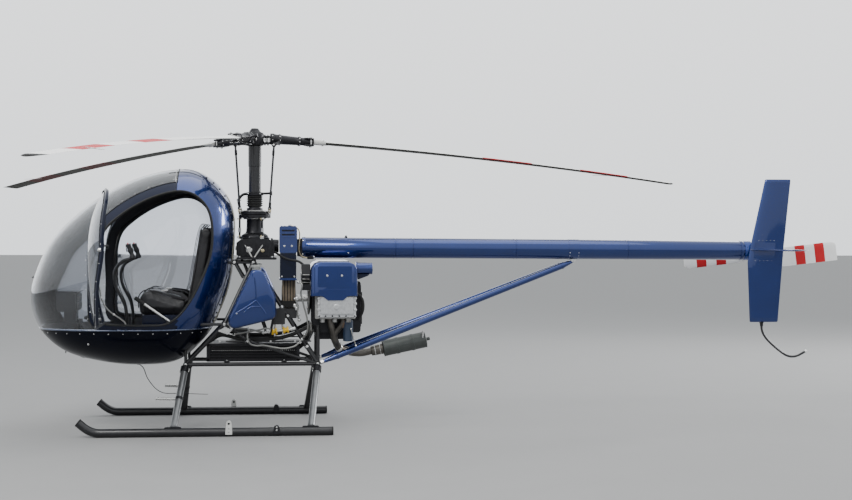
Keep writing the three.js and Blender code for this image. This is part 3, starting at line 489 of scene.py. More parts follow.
def around_x(degrees):
    """The direction square to X at a turn from starboard."""
    angle = math.radians(degrees)
    return np.array([0, math.cos(angle), math.sin(angle)])


def loft(rings):
    """A closed skin over rings with the same number of places."""
    rings = [np.asarray(ring, float) for ring in rings]
    return np.concatenate(rings), rings_to_faces(len(rings), len(rings[0]))


def pulled_loft(outline, middle, ends):
    """A skin along Y over a side-view outline, pulled in towards its middle at each of the given ends."""
    away = outline - middle
    reach = np.linalg.norm(away, axis=1)[:, None]
    return loft([[(x, y, z) for x, z in middle + away * (1 - pull / reach)] for y, pull in ends])


def hoop(centre, axis, radius, thickness, around=32, sides=10):
    across, up = side_frame(axis)
    angles = np.linspace(0, 2 * math.pi, around, endpoint=False)
    circle = np.outer(np.cos(angles), across) + np.outer(np.sin(angles), up)
    return tube(np.asarray(centre, float) + radius * circle, thickness, sides, closed=True)


def bolt(place, axis, size):
    """A washer and a six-sided head standing on a face."""
    place, axis = np.asarray(place, float), unit(axis)
    washer = lathe(place - axis * size * 0.1, place + axis,
                   [(0, size * 1.25), (size * 0.25, size * 1.25), (size * 0.3, size * 1.1)], 16)
    head = lathe(place + axis * size * 0.2, place + axis * 9,
                 [(0, size), (size * 0.65, size), (size * 0.8, size * 0.8)], 6)
    return [washer, head]


def rivet(place, axis, radius):
    place, axis = np.asarray(place, float), unit(axis)
    return lathe(place - axis * radius * 0.3, place + axis,
                 [(0, radius), (radius * 0.35, radius), (radius * 0.7, radius * 0.75),
                  (radius * 0.9, radius * 0.3)], 8)


# One Blender piece gathered from many bodies
class Form:
    def __init__(self, name, body="airframe"):
        self.name = name
        self.body = body
        self.places = []
        self.faces = []
        self.marks = []
        self.paints = []
        self.count = 0

    def add(self, shape, paint):
        shapes = shape if isinstance(shape, list) else [shape]
        if paint not in self.paints:
            self.paints.append(paint)
        mark = self.paints.index(paint)
        for places, faces in shapes:
            self.places.append(np.array(places, float))
            self.faces += [tuple(self.count + i for i in face) for face in faces]
            self.marks += [mark] * len(faces)
            self.count += len(places)
        return self

    def add_sheets(self, sheets, outer, inner, rim):
        """Adds thick sheets, with one finish for each of their three kinds of face."""
        for places, *kinds in sheets:
            for paint in (outer, inner, rim):
                if paint not in self.paints:
                    self.paints.append(paint)
            self.places.append(np.array(places, float))
            for faces, paint in zip(kinds, (outer, inner, rim)):
                self.faces += [tuple(self.count + i for i in face) for face in faces]
                self.marks += [self.paints.index(paint)] * len(faces)
            self.count += len(places)
        return self

    def turn(self, centre, degrees):
        """Turns all that is in the piece so far about an upright line."""
        angle = math.radians(degrees)
        for places in self.places:
            dx, dy = places[:, 0] - centre[0], places[:, 1] - centre[1]
            places[:, 0] = centre[0] + dx * math.cos(angle) - dy * math.sin(angle)
            places[:, 1] = centre[1] + dx * math.sin(angle) + dy * math.cos(angle)

    def done(self, replaces=(), slot=None, bevel=0.0, sharp=38.0, weld=0.0, outward=True):
        mesh = bpy.data.meshes.new(self.name)
        mesh.from_pydata(metres(np.concatenate(self.places)).tolist(), [], self.faces)
        for paint in self.paints:
            mesh.materials.append(paint)
        mesh.polygons.foreach_set("material_index", self.marks)
        if outward or weld:
            work = bmesh.new()
            work.from_mesh(mesh)
            if weld:
                bmesh.ops.remove_doubles(work, verts=work.verts, dist=weld * MM)
            if outward:
                bmesh.ops.recalc_face_normals(work, faces=work.faces)
            work.to_mesh(mesh)
            work.free()
        mesh.shade_smooth()
        mesh.set_sharp_from_angle(angle=math.radians(sharp))
        piece = bpy.data.objects.new(self.name, mesh)
        bpy.context.scene.collection.objects.link(piece)
        if bevel:
            edge = piece.modifiers.new("edges", "BEVEL")
            edge.width = bevel * MM
            edge.segments = 2
            edge.limit_method = "ANGLE"
            edge.angle_limit = math.radians(sharp)
            edge.harden_normals = True
        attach(piece, self.body)
        if replaces:
            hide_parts(*([replaces] if isinstance(replaces, str) else replaces))
        return piece


# Cabin surface: an egg whose side view is CABIN_OUTLINE
CABIN_CENTRE = (-880.0, 1170.0)
CABIN_MIDDLE = np.array([CABIN_CENTRE[0], 0.0, CABIN_CENTRE[1]])
HALF_WIDTH = 600.0
EDGE_POWER, SIDE_POWER = 2.6, 2.3
# Distances on the flat disc, whose rim is at 1
NEAR_RIM, ON_RIM, INSIDE_RIM = 0.992, 0.9995, 0.99999
RIM_FADE, DISC_STEP, LINE_CLEARANCE = 0.008, 2e-3, 0.009
SKIN, BUBBLE = 16.0, 8.0
WAIST = 745.0
ROOF_SEAM = -550.0
CABIN_OUTLINE = [
    (-1640, 985), (-1605, 1140), (-1490, 1385), (-1282, 1597), (-1058, 1755), (-833, 1859), (-593, 1914),
    (-440, 1910), (-289, 1828), (-178, 1685), (-142, 1540), (-150, 1330), (-175, 1090), (-232, 909),
    (-345, 690), (-560, 497), (-850, 462), (-1130, 490), (-1394, 570), (-1560, 715), (-1622, 845),
]
DOOR_OUTLINE = [
    (-1100, 860), (-1101, 1060), (-1097, 1330), (-1050, 1470), (-960, 1560), (-843, 1640), (-725, 1698),
    (-600, 1738), (-515, 1746), (-444, 1729), (-380, 1686), (-330, 1622), (-301, 1535), (-293, 1420),
    (-302, 1310), (-335, 1189), (-384, 1074), (-440, 967), (-500, 880), (-562, 818), (-632, 783),
    (-760, 777), (-940, 779), (-1050, 790), (-1088, 815),
]
RIM = spline(CABIN_OUTLINE, closed=True, step=6.0)
DOOR_RIM = spline(DOOR_OUTLINE, closed=True, step=8.0)


def _rim_table():
    away = RIM - CABIN_CENTRE
    angles = np.arctan2(away[:, 1], away[:, 0])
    order = np.argsort(angles)
    angles, reach = angles[order], np.linalg.norm(away, axis=1)[order]
    angles = np.concatenate([[angles[-1] - 2 * math.pi], angles, [angles[0] + 2 * math.pi]])
    return angles, np.concatenate([[reach[-1]], reach, [reach[0]]])


RIM_ANGLES, RIM_REACH = _rim_table()


def rim_reach(angles):
    return np.interp(angles, RIM_ANGLES, RIM_REACH)


def to_disc(side_view):
    """Side-view places on the flat disc that stands for one half of the cabin."""
    away = np.atleast_2d(side_view) - CABIN_CENTRE
    angles = np.arctan2(away[:, 1], away[:, 0])
    share = np.minimum(np.linalg.norm(away, axis=1) / rim_reach(angles), 1.0)
    radius = np.arcsin(share ** (EDGE_POWER / 2)) * 2 / math.pi
    return np.stack([radius * np.cos(angles), radius * np.sin(angles)], axis=1)


def from_disc(flat):
    """Cabin surface places, with Y above 0, for places on the flat disc."""
    flat = np.atleast_2d(flat)
    angles = np.arctan2(flat[:, 1], flat[:, 0])
    radius = np.minimum(np.hypot(flat[:, 0], flat[:, 1]), 1.0)
    share = np.sin(math.pi / 2 * radius) ** (2 / EDGE_POWER)
    reach = rim_reach(angles) * share
    across = HALF_WIDTH * np.maximum(np.cos(math.pi / 2 * radius), 0) ** (2 / SIDE_POWER)
    return np.stack([CABIN_CENTRE[0] + reach * np.cos(angles), across, CABIN_CENTRE[1]
                     + reach * np.sin(angles)], axis=1)


def on_cabin(side_view, side=STARBOARD, lift=0.0):
    """Places on the cabin surface for side-view places, moved outward by lift."""
    flat = to_disc(side_view)
    places = from_disc(flat) + lift * disc_normals(flat)
    places[:, 1] *= side
    return places


def disc_normals(flat):
    """Outward directions on the cabin surface, square to Y at the rim."""
    radius = np.hypot(flat[:, 0], flat[:, 1])
    inside = flat * (np.minimum(radius, NEAR_RIM) / np.maximum(radius, 1e-9))[:, None]
    along = from_disc(inside + (DISC_STEP, 0)) - from_disc(inside - (DISC_STEP, 0))
    across = from_disc(inside + (0, DISC_STEP)) - from_disc(inside - (0, DISC_STEP))
    normals = np.cross(along, across)
    normals /= np.maximum(np.linalg.norm(normals, axis=1), 1e-9)[:, None]
    outward = from_disc(inside) - CABIN_MIDDLE
    normals *= np.sign(np.sum(normals * outward, axis=1))[:, None]
    at_rim = radius > NEAR_RIM
    normals[at_rim, 1] *= np.clip((1 - radius[at_rim]) / RIM_FADE, 0, 1)
    return normals / np.linalg.norm(normals, axis=1)[:, None]


def offset_loop(loop, distance):
    """A closed side-view loop moved along its own normals, outward when positive."""
    along = np.roll(loop, -2, axis=0) - np.roll(loop, 2, axis=0)
    along /= np.linalg.norm(along, axis=1)[:, None]
    normals = np.stack([-along[:, 1], along[:, 0]], axis=1)
    if np.sum((loop - loop.mean(axis=0)) * normals) < 0:
        normals = -normals
    return loop + normals * distance


def in_loop(places, loop):
    """Which side-view places lie inside a closed loop."""
    x, z = places[:, 0], places[:, 1]
    inside = np.zeros(len(places), bool)
    for (x0, z0), (x1, z1) in zip(loop, np.roll(loop, -1, axis=0)):
        crosses = (z0 > z) != (z1 > z)
        at = x0 + (z - z0) * (x1 - x0) / ((z1 - z0) or 1e-12)
        inside ^= crosses & (x < at)
    return inside


def level_line(height, inset=0.0, step=14.0):
    """The stretch of one height that lies inside the side view."""
    xs = np.linspace(-1700, -100, 6401)
    line = np.stack([xs, np.full(len(xs), height)], axis=1)
    away = line - CABIN_CENTRE
    inside = np.linalg.norm(away, axis=1) < rim_reach(np.arctan2(away[:, 1], away[:, 0])) - inset
    xs = xs[inside]
    count = int((xs[-1] - xs[0]) / step)
    return np.stack([np.linspace(xs[0], xs[-1], count), np.full(count, height)], axis=1)


def egg_sheet(keep, lines, thickness, sides=(PORT, STARBOARD), lift=0.0, rings=38, around=150):
    """A thick sheet: the part of the cabin surface that keep() chooses, cut clean along the given lines."""
    flat_lines = [(to_disc(line), closed) for line, closed in lines]
    rim_angles = np.linspace(-math.pi, math.pi, 2 * around, endpoint=False)
    flat_lines.append((np.stack([np.cos(rim_angles), np.sin(rim_angles)], axis=1), True))
    grid = [(0.0, 0.0)]
    for k in range(1, rings):
        radius = k / rings
        count = max(int(around * min(1.0, radius * 1.25)), 8)
        turns = (np.arange(count) + 0.5 * (k % 2)) * 2 * math.pi / count
        grid += [(radius * math.cos(a), radius * math.sin(a)) for a in turns]
    grid = np.array(grid)
    fixed = np.concatenate([flat for flat, closed in flat_lines])
    clear = np.ones(len(grid), bool)
    for chunk in np.array_split(fixed, max(len(fixed) // 200, 1)):
        clear &= (np.linalg.norm(grid[:, None, :] - chunk[None], axis=2) > LINE_CLEARANCE).all(axis=1)
    grid = grid[clear]
    edges = []
    base = 0
    for flat, closed in flat_lines:
        count = len(flat)
        edges += [(base + i, base + (i + 1) % count) for i in range(count if closed else count - 1)]
        base += count
    points = np.concatenate([fixed, grid])
    made = delaunay_2d_cdt([Vector(p) for p in points], edges, [], 0, 1e-7)
    flat = np.array([tuple(v) for v in made[0]])
    triangles = np.array([f for f in made[2] if len(f) == 3])
    centres = flat[triangles].mean(axis=1)
    places = from_disc(centres)
    kept = triangles[keep(places[:, [0, 2]]) & (np.hypot(centres[:, 0], centres[:, 1]) < INSIDE_RIM)]
    used = np.unique(kept)
    index = np.full(len(flat), -1)
    index[used] = np.arange(len(used))
    kept = index[kept]
    flat = flat[used]
    normals = disc_normals(flat)
    outer = from_disc(flat) + normals * lift
    inner = outer - normals * thickness
    count = len(flat)
    at_rim = np.hypot(flat[:, 0], flat[:, 1]) > ON_RIM
    faces = [tuple(t) for t in kept]
    inner_faces = [tuple(count + i for i in t[::-1]) for t in kept]
    rim_faces = []
    directed = {(t[i], t[(i + 1) % 3]) for t in kept.tolist() for i in range(3)}
    for a, b in directed:
        if (b, a) not in directed and not (at_rim[a] and at_rim[b]):
            rim_faces.append((b, a, count + a, count + b))
    both = np.concatenate([outer, inner])
    both[np.concatenate([at_rim, at_rim]), 1] = 0.0
    sheets = []
    for side in sides:
        places = both.copy()
        places[:, 1] *= side
        sheets.append((places, faces, inner_faces, rim_faces))
    return sheets


# Cabin
FAR = 4000.0
PILLAR = offset_loop(DOOR_RIM, 62)
DOOR_EDGE = offset_loop(DOOR_RIM, -8)
WINDOW_EDGE = offset_loop(DOOR_RIM, -26)
HINGE_X, HINGE_Y = -1128.0, 622.0
HINGE_LEVELS = (900.0, 1260.0)
FLOOR_LOW, FLOOR_TOP = 579.0, 590.0
SEAM_LINE = np.array([(ROOF_SEAM, z) for z in np.linspace(1750, 1930, 24)])


def build_shell():
    form = Form("shell_skin")
    waist = (level_line(WAIST), False)
    lines = [waist, (SEAM_LINE, False), (DOOR_RIM, True)]
    blue = egg_sheet(lambda p: (p[:, 1] > WAIST) & (p[:, 0] > ROOF_SEAM) & ~in_loop(p, DOOR_RIM), lines,
                     SKIN)
    form.add_sheets(blue, BLUE, LINING, BLUE)
    seam = ROOF_SEAM - 1.5
    lines = [waist, (SEAM_LINE - (1.5, 0), False), (DOOR_RIM, True), (PILLAR, True)]
    dark = egg_sheet(lambda p: (p[:, 1] > WAIST) & (p[:, 0] < seam) & ~in_loop(p, DOOR_RIM)
                     & in_loop(p, PILLAR), lines, SKIN)
    form.add_sheets(dark, NAVY, LINING, NAVY)
    for side in (PORT, STARBOARD):
        form.add(tube(on_cabin(offset_loop(DOOR_RIM, -1), side, -3.0), 7.0, 10, closed=True), RUBBER)
        form.add(tube(on_cabin(offset_loop(DOOR_RIM, 1), side, -17.0), 5.0, 8, closed=True), RUBBER)
        for level in HINGE_LEVELS:
            skin = on_cabin([(HINGE_X - 16, level)], side)[0]
            for step in (-17.5, 17.5):
                eye = np.array([HINGE_X, side * HINGE_Y, level + step])
                form.add(lathe(eye - (0, 0, 5), eye, [(0, 11), (1, 12), (9, 12), (10, 11)], 20), MACHINED)
                root = np.array([skin[0], skin[1] - side * 6, level + step])
                form.add(bar(eye, root, 5.0, sides=10), MACHINED)
            pin = np.array([HINGE_X, side * HINGE_Y, level])
            form.add(bar(pin - (0, 0, 31), pin + (0, 0, 31), 5.0, sides=14), MACHINED)
            form.add(lathe(pin + (0, 0, 28), pin + (0, 0, 40), [(0, 8), (4, 8), (6, 6)], 12), MACHINED)
            for step in (-26, 26):
                spot = on_cabin([(HINGE_X - 24, level + step * 0.8)], side)[0]
                form.add(rivet(spot, spot - CABIN_MIDDLE, 5.0), MACHINED)
    form.done(replaces="cabin_shell", slot="blue_shell", weld=0.02, outward=False)


def rim_path(inset, low_angle, high_angle, side, lift, step=16.0):
    """A line that follows the side view at an inset, between two directions from the cabin's middle."""
    angles = np.radians(np.linspace(low_angle, high_angle, 160))
    reach = rim_reach(angles) - inset
    line = np.stack([CABIN_CENTRE[0] + reach * np.cos(angles), CABIN_CENTRE[1] + reach * np.sin(angles)],
                    axis=1)
    places = on_cabin(line, side, lift)
    return spline(places, step=step)


def build_shell_trim():
    seams = Form("shell_seams")
    for side in (PORT, STARBOARD):
        seams.add(tube(rim_path(34, -36, 70, side, 0.4), 2.2, 6), RUBBER)
        seams.add(tube(rim_path(9, -36, 40, side, 1.0), 3.2, 8), CREAM)
        roof = spline(on_cabin([(ROOF_SEAM - 1, z) for z in np.linspace(1806, 1913, 14)], side, 0.5),
                      step=14)
        seams.add(tube(roof, 4.0, 8), RUBBER)
        strip = spline(on_cabin([(ROOF_SEAM - 16, z) for z in np.linspace(1812, 1910, 12)], side, 1.0),
                       step=14)
        seams.add(tube(strip, 2.0, 6), MACHINED)
    seams.done(sharp=60)
    studs = Form("shell_studs")
    for side in (PORT, STARBOARD):
        for place in rim_path(20, -33, 52, side, 0.0, step=62.0):
            out = place - CABIN_MIDDLE
            studs.add(bolt(place, (out[0], out[1] * 1.6, out[2]), 6.0), BLACK_ALLOY)
        for place in rim_path(62, -30, 60, side, 0.0, step=120.0):
            out = place - CABIN_MIDDLE
            studs.add(rivet(place, (out[0], out[1] * 1.8, out[2]), 4.5), BLUE)
    studs.done(sharp=50)


def build_canopy():
    edge = offset_loop(DOOR_RIM, 64.5)
    seam = ROOF_SEAM - 6
    lines = [(level_line(WAIST + 3), False), (SEAM_LINE - (6, 0), False), (edge, True)]
    form = Form("canopy_bubble")
    glass = egg_sheet(lambda p: (p[:, 1] > WAIST + 3) & (p[:, 0] < seam) & ~in_loop(p, edge), lines, BUBBLE,
                      lift=-1.0)
    form.add_sheets(glass, ACRYLIC, ACRYLIC, ACRYLIC)
    form.done(replaces="canopy", slot="clear", weld=0.02, outward=False)
    trim = Form("canopy_trim")
    for side in (PORT, STARBOARD):
        rim = offset_loop(DOOR_RIM, 63)
        ahead = rim[(rim[:, 0] < ROOF_SEAM - 4) & (rim[:, 1] > WAIST + 6)]
        start = int(np.argmax(np.linalg.norm(np.diff(ahead, axis=0), axis=1))) + 1
        ahead = np.roll(ahead, -start, axis=0)
        trim.add(tube(spline(on_cabin(ahead, side, 0.5), step=14), 4.0, 8), RUBBER)
        for place in spline(on_cabin(offset_ahead(ahead, 14), side, 0.0), step=105.0)[1:-1]:
            out = place - CABIN_MIDDLE
            trim.add(rivet(place, (out[0], out[1] * 2, out[2]), 3.6), MACHINED)
    trim.done(sharp=60)


def offset_ahead(line, distance):
    """An open side-view line moved away from the door's middle."""
    middle = DOOR_RIM.mean(axis=0)
    away = line - middle
    return line + away / np.linalg.norm(away, axis=1)[:, None] * distance


def waist_loop(level, lift, step=18.0):
    """A closed line round the cabin at one height."""
    line = level_line(level, inset=0.5)
    half = on_cabin(line, STARBOARD, lift)
    other = half[::-1][1:-1] * (1, -1, 1)
    return spline(np.concatenate([half, other])[::2], closed=True, step=step)


def room_ring(reach, level, height, limit):
    """A plan-view ring at one height, no wider than the room at the given level or the limit."""
    flat = to_disc(np.array([(x, level) for x in reach], float))
    lean = np.maximum(np.abs(disc_normals(flat)[:, 1]), 0.2)
    half = np.minimum(from_disc(flat)[:, 1] - (SKIN + 3) / lean, limit)
    port = [(x, -y, height) for x, y in zip(reach, half)]
    starboard = [(x, y, height) for x, y in zip(reach[::-1], half[::-1])]
    return port + starboard


def build_tub():
    form = Form("tub_skin")
    lines = [(level_line(WAIST - 0.6), False)]
    form.add_sheets(egg_sheet(lambda p: p[:, 1] < WAIST - 0.6, lines, SKIN), TUB_BLACK, LINING, TUB_BLACK)
    floor_line = level_line(FLOOR_LOW, inset=30)
    reach = [x for x in floor_line[:, 0] if -1500 < x < -420]
    form.add(loft([room_ring(reach, FLOOR_LOW, z, FAR) for z in (FLOOR_LOW, FLOOR_TOP)]), CARPET)
    for rib in np.linspace(-1380, -900, 9):
        width = float(on_cabin([(rib, 600)], STARBOARD, -40.0)[0][1]) * 0.86
        form.add(block(rib, rib + 14, -width, width, 589, 593.5), RUBBER)
    form.done(replaces="cabin_tub", slot="navy_shell", weld=0.02, outward=False)
    trim = Form("waist_trim")
    # Lip round the waist in the lighter tint: painted highlight
    trim.add(tube(waist_loop(WAIST - 1, 1.5), 5.5, 10, closed=True), WAIST_LIP_LIT_TINT)
    for side in (PORT, STARBOARD):
        row = on_cabin(level_line(WAIST - 27, inset=4, step=8.0), side, 0.0)
        for place in spline(row[::3], step=103.0)[1:-1]:
            out = place - (CABIN_CENTRE[0], 0, place[2])
            trim.add(rivet(place, (out[0] * 0.5, out[1], 0), 4.6), MACHINED)
        foot = on_cabin([(-1180, 640)], side)[0]
        trim.add(rivet(foot, (0, side, -0.4), 9.0), MACHINED)
    trim.done(sharp=60)


# Doors, made shut and then turned about their hinges
def build_door(name, side, swing):
    body = f"door_{name}"
    frame_form = Form(f"{body}_rail", body)
    lines = [(DOOR_EDGE, True), (WINDOW_EDGE, True)]
    rail = egg_sheet(lambda p: in_loop(p, DOOR_EDGE) & ~in_loop(p, WINDOW_EDGE), lines, 20.0, sides=(side,),
                     lift=2.0)
    frame_form.add_sheets(rail, NAVY, LINING, NAVY)
    frame_form.add(tube(on_cabin(offset_loop(DOOR_RIM, -27), side, 1.5), 3.5, 8, closed=True), RUBBER)
    frame_form.add(tube(on_cabin(offset_loop(DOOR_RIM, -13), side, -14.0), 4.5, 8, closed=True), RUBBER)
    for place in spline(on_cabin(offset_loop(DOOR_RIM, -17), side, 2.0), closed=True, step=130.0):
        frame_form.add(rivet(place, (0, side, 0), 3.5), MACHINED)
    for level in HINGE_LEVELS:
        eye = np.array([HINGE_X, side * HINGE_Y, level])
        frame_form.add(ring_plate(-11, 11, 5.9, 12, 24, 1, eye), MACHINED)
        end = on_cabin([(HINGE_X + 70, level)], side, 2.0)[0]
        start = eye + unit(end - eye) * 11.5
        frame_form.add(bar(start, end, 7.0, 6.0, sides=12), MACHINED)
        pad = on_cabin([(HINGE_X + 62, level)], side, 2.0)[0]
        frame_form.add(block(pad[0] - 16, pad[0] + 22, pad[1] - 5, pad[1] + 5, level - 15, level + 15),
                       MACHINED)
        for step in (-9, 9):
            frame_form.add(bolt(pad + (8, side * 5, step), (0, side, 0), 4.0), BLACK_ALLOY)
    # Latch: inner handle, spindle and outer lever
    latch = on_cabin([(-318, 1330)], side, 6.0)[0]
    inner = on_cabin([(-330, 1330)], side, -18.0)[0]
    frame_form.add(block(inner[0] - 22, inner[0] + 6, inner[1] - 7, inner[1] + 7, 1295, 1365), BLACK_ALLOY)
    course = [inner + (0, -side * 8, 20), inner + (-30, -side * 26, 26), inner + (-80, -side * 30, 18),
              inner + (-104, -side * 24, 6)]
    frame_form.add(tube(spline(course, step=8), 6.0, 10), BLACK_ALLOY)
    frame_form.add(bar(latch + (0, -side * 10, 0), latch + (0, side * 8, 0), 13.0, sides=16), MACHINED)
    course = [latch + (0, side * 10, 0), latch + (-26, side * 16, -4), latch + (-62, side * 15, -10)]
    frame_form.add(tube(spline(course, step=8), 5.5, 10), MACHINED)
    pane = Form(f"{body}_pane", body)
    edge = offset_loop(DOOR_RIM, -25)
    glass = egg_sheet(lambda p: in_loop(p, edge), [(edge, True)], 6.0, sides=(side,), lift=-4.0)
    pane.add_sheets(glass, ACRYLIC, ACRYLIC, ACRYLIC)
    for form in (frame_form, pane):
        form.turn((HINGE_X, side * HINGE_Y), side * swing)
    frame_form.done(replaces=f"{body}_frame", slot="navy_shell", weld=0.02, outward=False)
    pane.done(replaces=f"{body}_window", slot="clear", weld=0.02, outward=False)


# Inside the cabin
DIAL_R = 25.0


def build_console():
    form = Form("instrument_panel")
    body = rounded([(-1440, 862), (-1300, 862), (-1300, 985), (-1325, 1008), (-1440, 1008)], 14)
    form.add(prism(body, -168, 168), PLASTIC)
    outline = [(-1400, 590.5), (-1310, 590.5), (-1310, 866), (-1400, 866)]
    form.add(prism(rounded(outline, 12), -60, 60), PLASTIC)
    # Padded hood, ten dials, and a row of knobs on the pedestal
    hood = rounded([(-1440, 1003), (-1292, 1001), (-1286, 1009), (-1440, 1012)], 4)
    form.add(prism(hood, -169, 169), LEATHER)
    r = DIAL_R
    for y, z in [(y, z) for z in (960, 903) for y in range(-120, 121, 60)]:
        face = np.array([-1300.0, y, z])
        profile = [(0, r + 4), (9, r + 4), (11, r)]
        form.add(lathe(face - (4, 0, 0), face + (1, 0, 0), profile, 28), BLACK_ALLOY)
        form.add(lathe(face, face + (1, 0, 0), [(0, r - 1), (5.5, r - 1), (6, r - 2)], 28), GLASS_DIAL)
        for tick in range(10):
            turn = math.radians(tick * 30 - 135)
            a = face + (6.4, math.sin(turn) * (r - 8), math.cos(turn) * (r - 8))
            b = face + (6.4, math.sin(turn) * (r - 3), math.cos(turn) * (r - 3))
            form.add(bar(a, b, 0.9, sides=5, edge=0.1), DIAL_MARK)
        form.add(bar(face + (6.4, 0, 0), face + (6.4, 12, 10), 0.9, sides=5, edge=0.1), DIAL_MARK)
    for y in range(-36, 37, 18):
        knob = np.array([-1310.0, y, 800.0])
        form.add(lathe(knob, knob + (1, 0, 0), [(0, 5), (8, 5), (10, 3)], 10), MACHINED)
    form.done(replaces="instrument_console", slot="black_plastic", bevel=1.2)


def build_bench():
    form = Form("bench_box")
    reach = list(np.linspace(-798, -474, 14))
    form.add(loft([room_ring(reach, z, z, 418.0)
                   for z in (591.0, 620.0, 660.0, 700.0, 740.0, 790.0, 849.0)]), NAVY)
    for y in (-300, -100, 100, 300):
        form.add(plate(-770, -500, y - 3, y + 3, 600, 640, 8), NAVY)
    # Collective lever
    lever = spline([(-600, -428, 800), (-700, -428, 870), (-790, -428, 933), (-850, -428, 975)], step=20)
    form.add(tube(lever, 10.5, 14), MACHINED)
    form.add(tube(lever[-5:], 15.0, 16), RUBBER)
    form.add(bar((-605, -436, 792), (-605, -400, 792), 24, sides=24), BLACK_ALLOY)
    form.done(replaces="seat_bench", slot="navy_shell", bevel=2.0)


def cushion(name, node, outline, y0, y1):
    """One padded cushion: a block of foam swollen by Blender's cloth."""
    ring = rounded(outline, 24, 5)
    middle = (y0 + y1) / 2
    half = (y1 - y0) / 2
    rings = []
    centre = ring.mean(axis=0)
    for share in (-1.0, -0.93, -0.6, -0.2, 0.2, 0.6, 0.93, 1.0):
        shrink = 9 if abs(share) > 0.99 else 3
        pulled = centre + (ring - centre) * (1 - shrink / 150)
        rings.append(np.array([(x, middle + share * (half - 4), z) for x, z in pulled]))
    form = Form(name)
    form.add(loft(rings), LEATHER)
    piece = form.done(replaces=node, slot="leather", sharp=80)
    swell(piece)
    return piece


def swell(piece, cap=0.012, voxel=0.008):
    """Remesh, blow up with cloth pressure, hold every point near its start, and smooth."""
    remesh = piece.modifiers.new("even", "REMESH")
    remesh.mode = "VOXEL"
    remesh.voxel_size = voxel
    apply_modifiers(piece)
    start = np.array([v.co for v in piece.data.vertices])
    cloth = piece.modifiers.new("fill", "CLOTH")
    cloth.settings.use_pressure = True
    cloth.settings.uniform_pressure_force = 4.0
    cloth.settings.quality = 4
    cloth.settings.effector_weights.gravity = 0.0
    scene = bpy.context.scene
    for step in range(1, 16):
        scene.frame_set(step)
    swollen = piece.evaluated_get(bpy.context.evaluated_depsgraph_get())
    end = np.array([v.co for v in swollen.data.vertices])
    piece.modifiers.remove(cloth)
    scene.frame_set(1)
    shift = end - start
    size = np.linalg.norm(shift, axis=1)
    shift *= np.minimum(1.0, cap / np.maximum(size, 1e-9))[:, None]
    end = start + shift
    wrinkles = np.array([noise.noise(Vector(p) * 14.0) + 0.5 * noise.noise(Vector(p) * 31.0)
                         for p in start])
    normals = np.array([v.normal for v in piece.data.vertices])
    end = end + normals * (wrinkles * 0.0016)[:, None]
    piece.data.vertices.foreach_set("co", end.ravel())
    piece.data.update()
    piece.data.shade_smooth()


def apply_modifiers(piece):
    done = bpy.data.meshes.new_from_object(piece.evaluated_get(bpy.context.evaluated_depsgraph_get()))
    piece.modifiers.clear()
    piece.data = done


def build_seats():
    base = 852.0
    seat = [(-822, base), (-500, base), (-478, 950), (-600, 985), (-745, 1024), (-800, 1016), (-828, 960)]
    back = [(-505, base + 4), (-455, base + 4), (-385, 960), (-312, 1470), (-335, 1500), (-375, 1482),
            (-462, 975)]
    for name, side in SIDES:
        y0, y1 = sorted((side * 30, side * 405))
        cushion(f"cushion_{name}", f"seat_{name}", seat, y0, y1)
        cushion(f"backrest_{name}", f"seat_{name}", back, y0 + 12, y1 - 12)
        piping = Form(f"piping_{name}")
        for y in (y0 + 7, y1 - 7):
            top = spline([(-826, y, 900), (-824, y, 985), (-790, y, 1024), (-740, y, 1026), (-600, y, 990),
                          (-490, y, 958)], step=16)
            piping.add(tube(top, 4.0, 8), LEATHER_EDGE)
        for y in (y0 + 20, y1 - 20):
            edge = spline([(-462, y, 985), (-420, y, 1200), (-378, y, 1470), (-352, y, 1500)], step=18)
            piping.add(tube(edge, 4.0, 8), LEATHER_EDGE)
        piping.done(sharp=70)
        straps = Form(f"harness_{name}")
        for y in (y0 + 95, y1 - 95):
            path = spline([(-330, y, 1500), (-378, y, 1506), (-408, y, 1440), (-452, y, 1200),
                           (-486, y, 1040), (-520, y, 1004), (-600, y, 1002)], step=14)
            straps.add(strap(path, (0, 1, 0), 44, 2.5), FABRIC)
        lap = spline([(-470, y0 + 6, 955), (-520, y0 + 30, 992), (-640, (y0 + y1) / 2, 1016),
                      (-520, y1 - 30, 992), (-470, y1 - 6, 955)], step=14)
        straps.add(strap(lap, (-0.35, 0, 1), 44, 2.5, flat=True), FABRIC)
        buckle = np.array([-652, (y0 + y1) / 2, 1019])
        straps.add(block(buckle[0] - 24, buckle[0] + 24, buckle[1] - 26, buckle[1] + 26, buckle[2] - 5,
                         buckle[2] + 5), MACHINED)
        straps.done(sharp=50, bevel=0.6)


def strap(path, across, width, thickness, flat=False):
    """Webbing along a path; across points over its width, or square to it when flat."""
    path = np.asarray(path, float)
    along = np.gradient(path, axis=0)
    along /= np.linalg.norm(along, axis=1)[:, None]
    across = np.tile(unit(across), (len(path), 1))
    if flat:
        across = np.cross(along, across)
        across /= np.linalg.norm(across, axis=1)[:, None]
    up = np.cross(across, along)
    up /= np.linalg.norm(up, axis=1)[:, None]
    half, rise = across * width / 2, up * thickness / 2
    corners = ((-1, -1), (1, -1), (1, 1), (-1, 1))
    return loft([[path[i] + half[i] * w + rise[i] * t for w, t in corners] for i in range(len(path))])


STICK = [(-930, 600), (-925, 700), (-935, 900), (-1005, 1060), (-1010, 1160), (-960, 1230), (-890, 1255)]


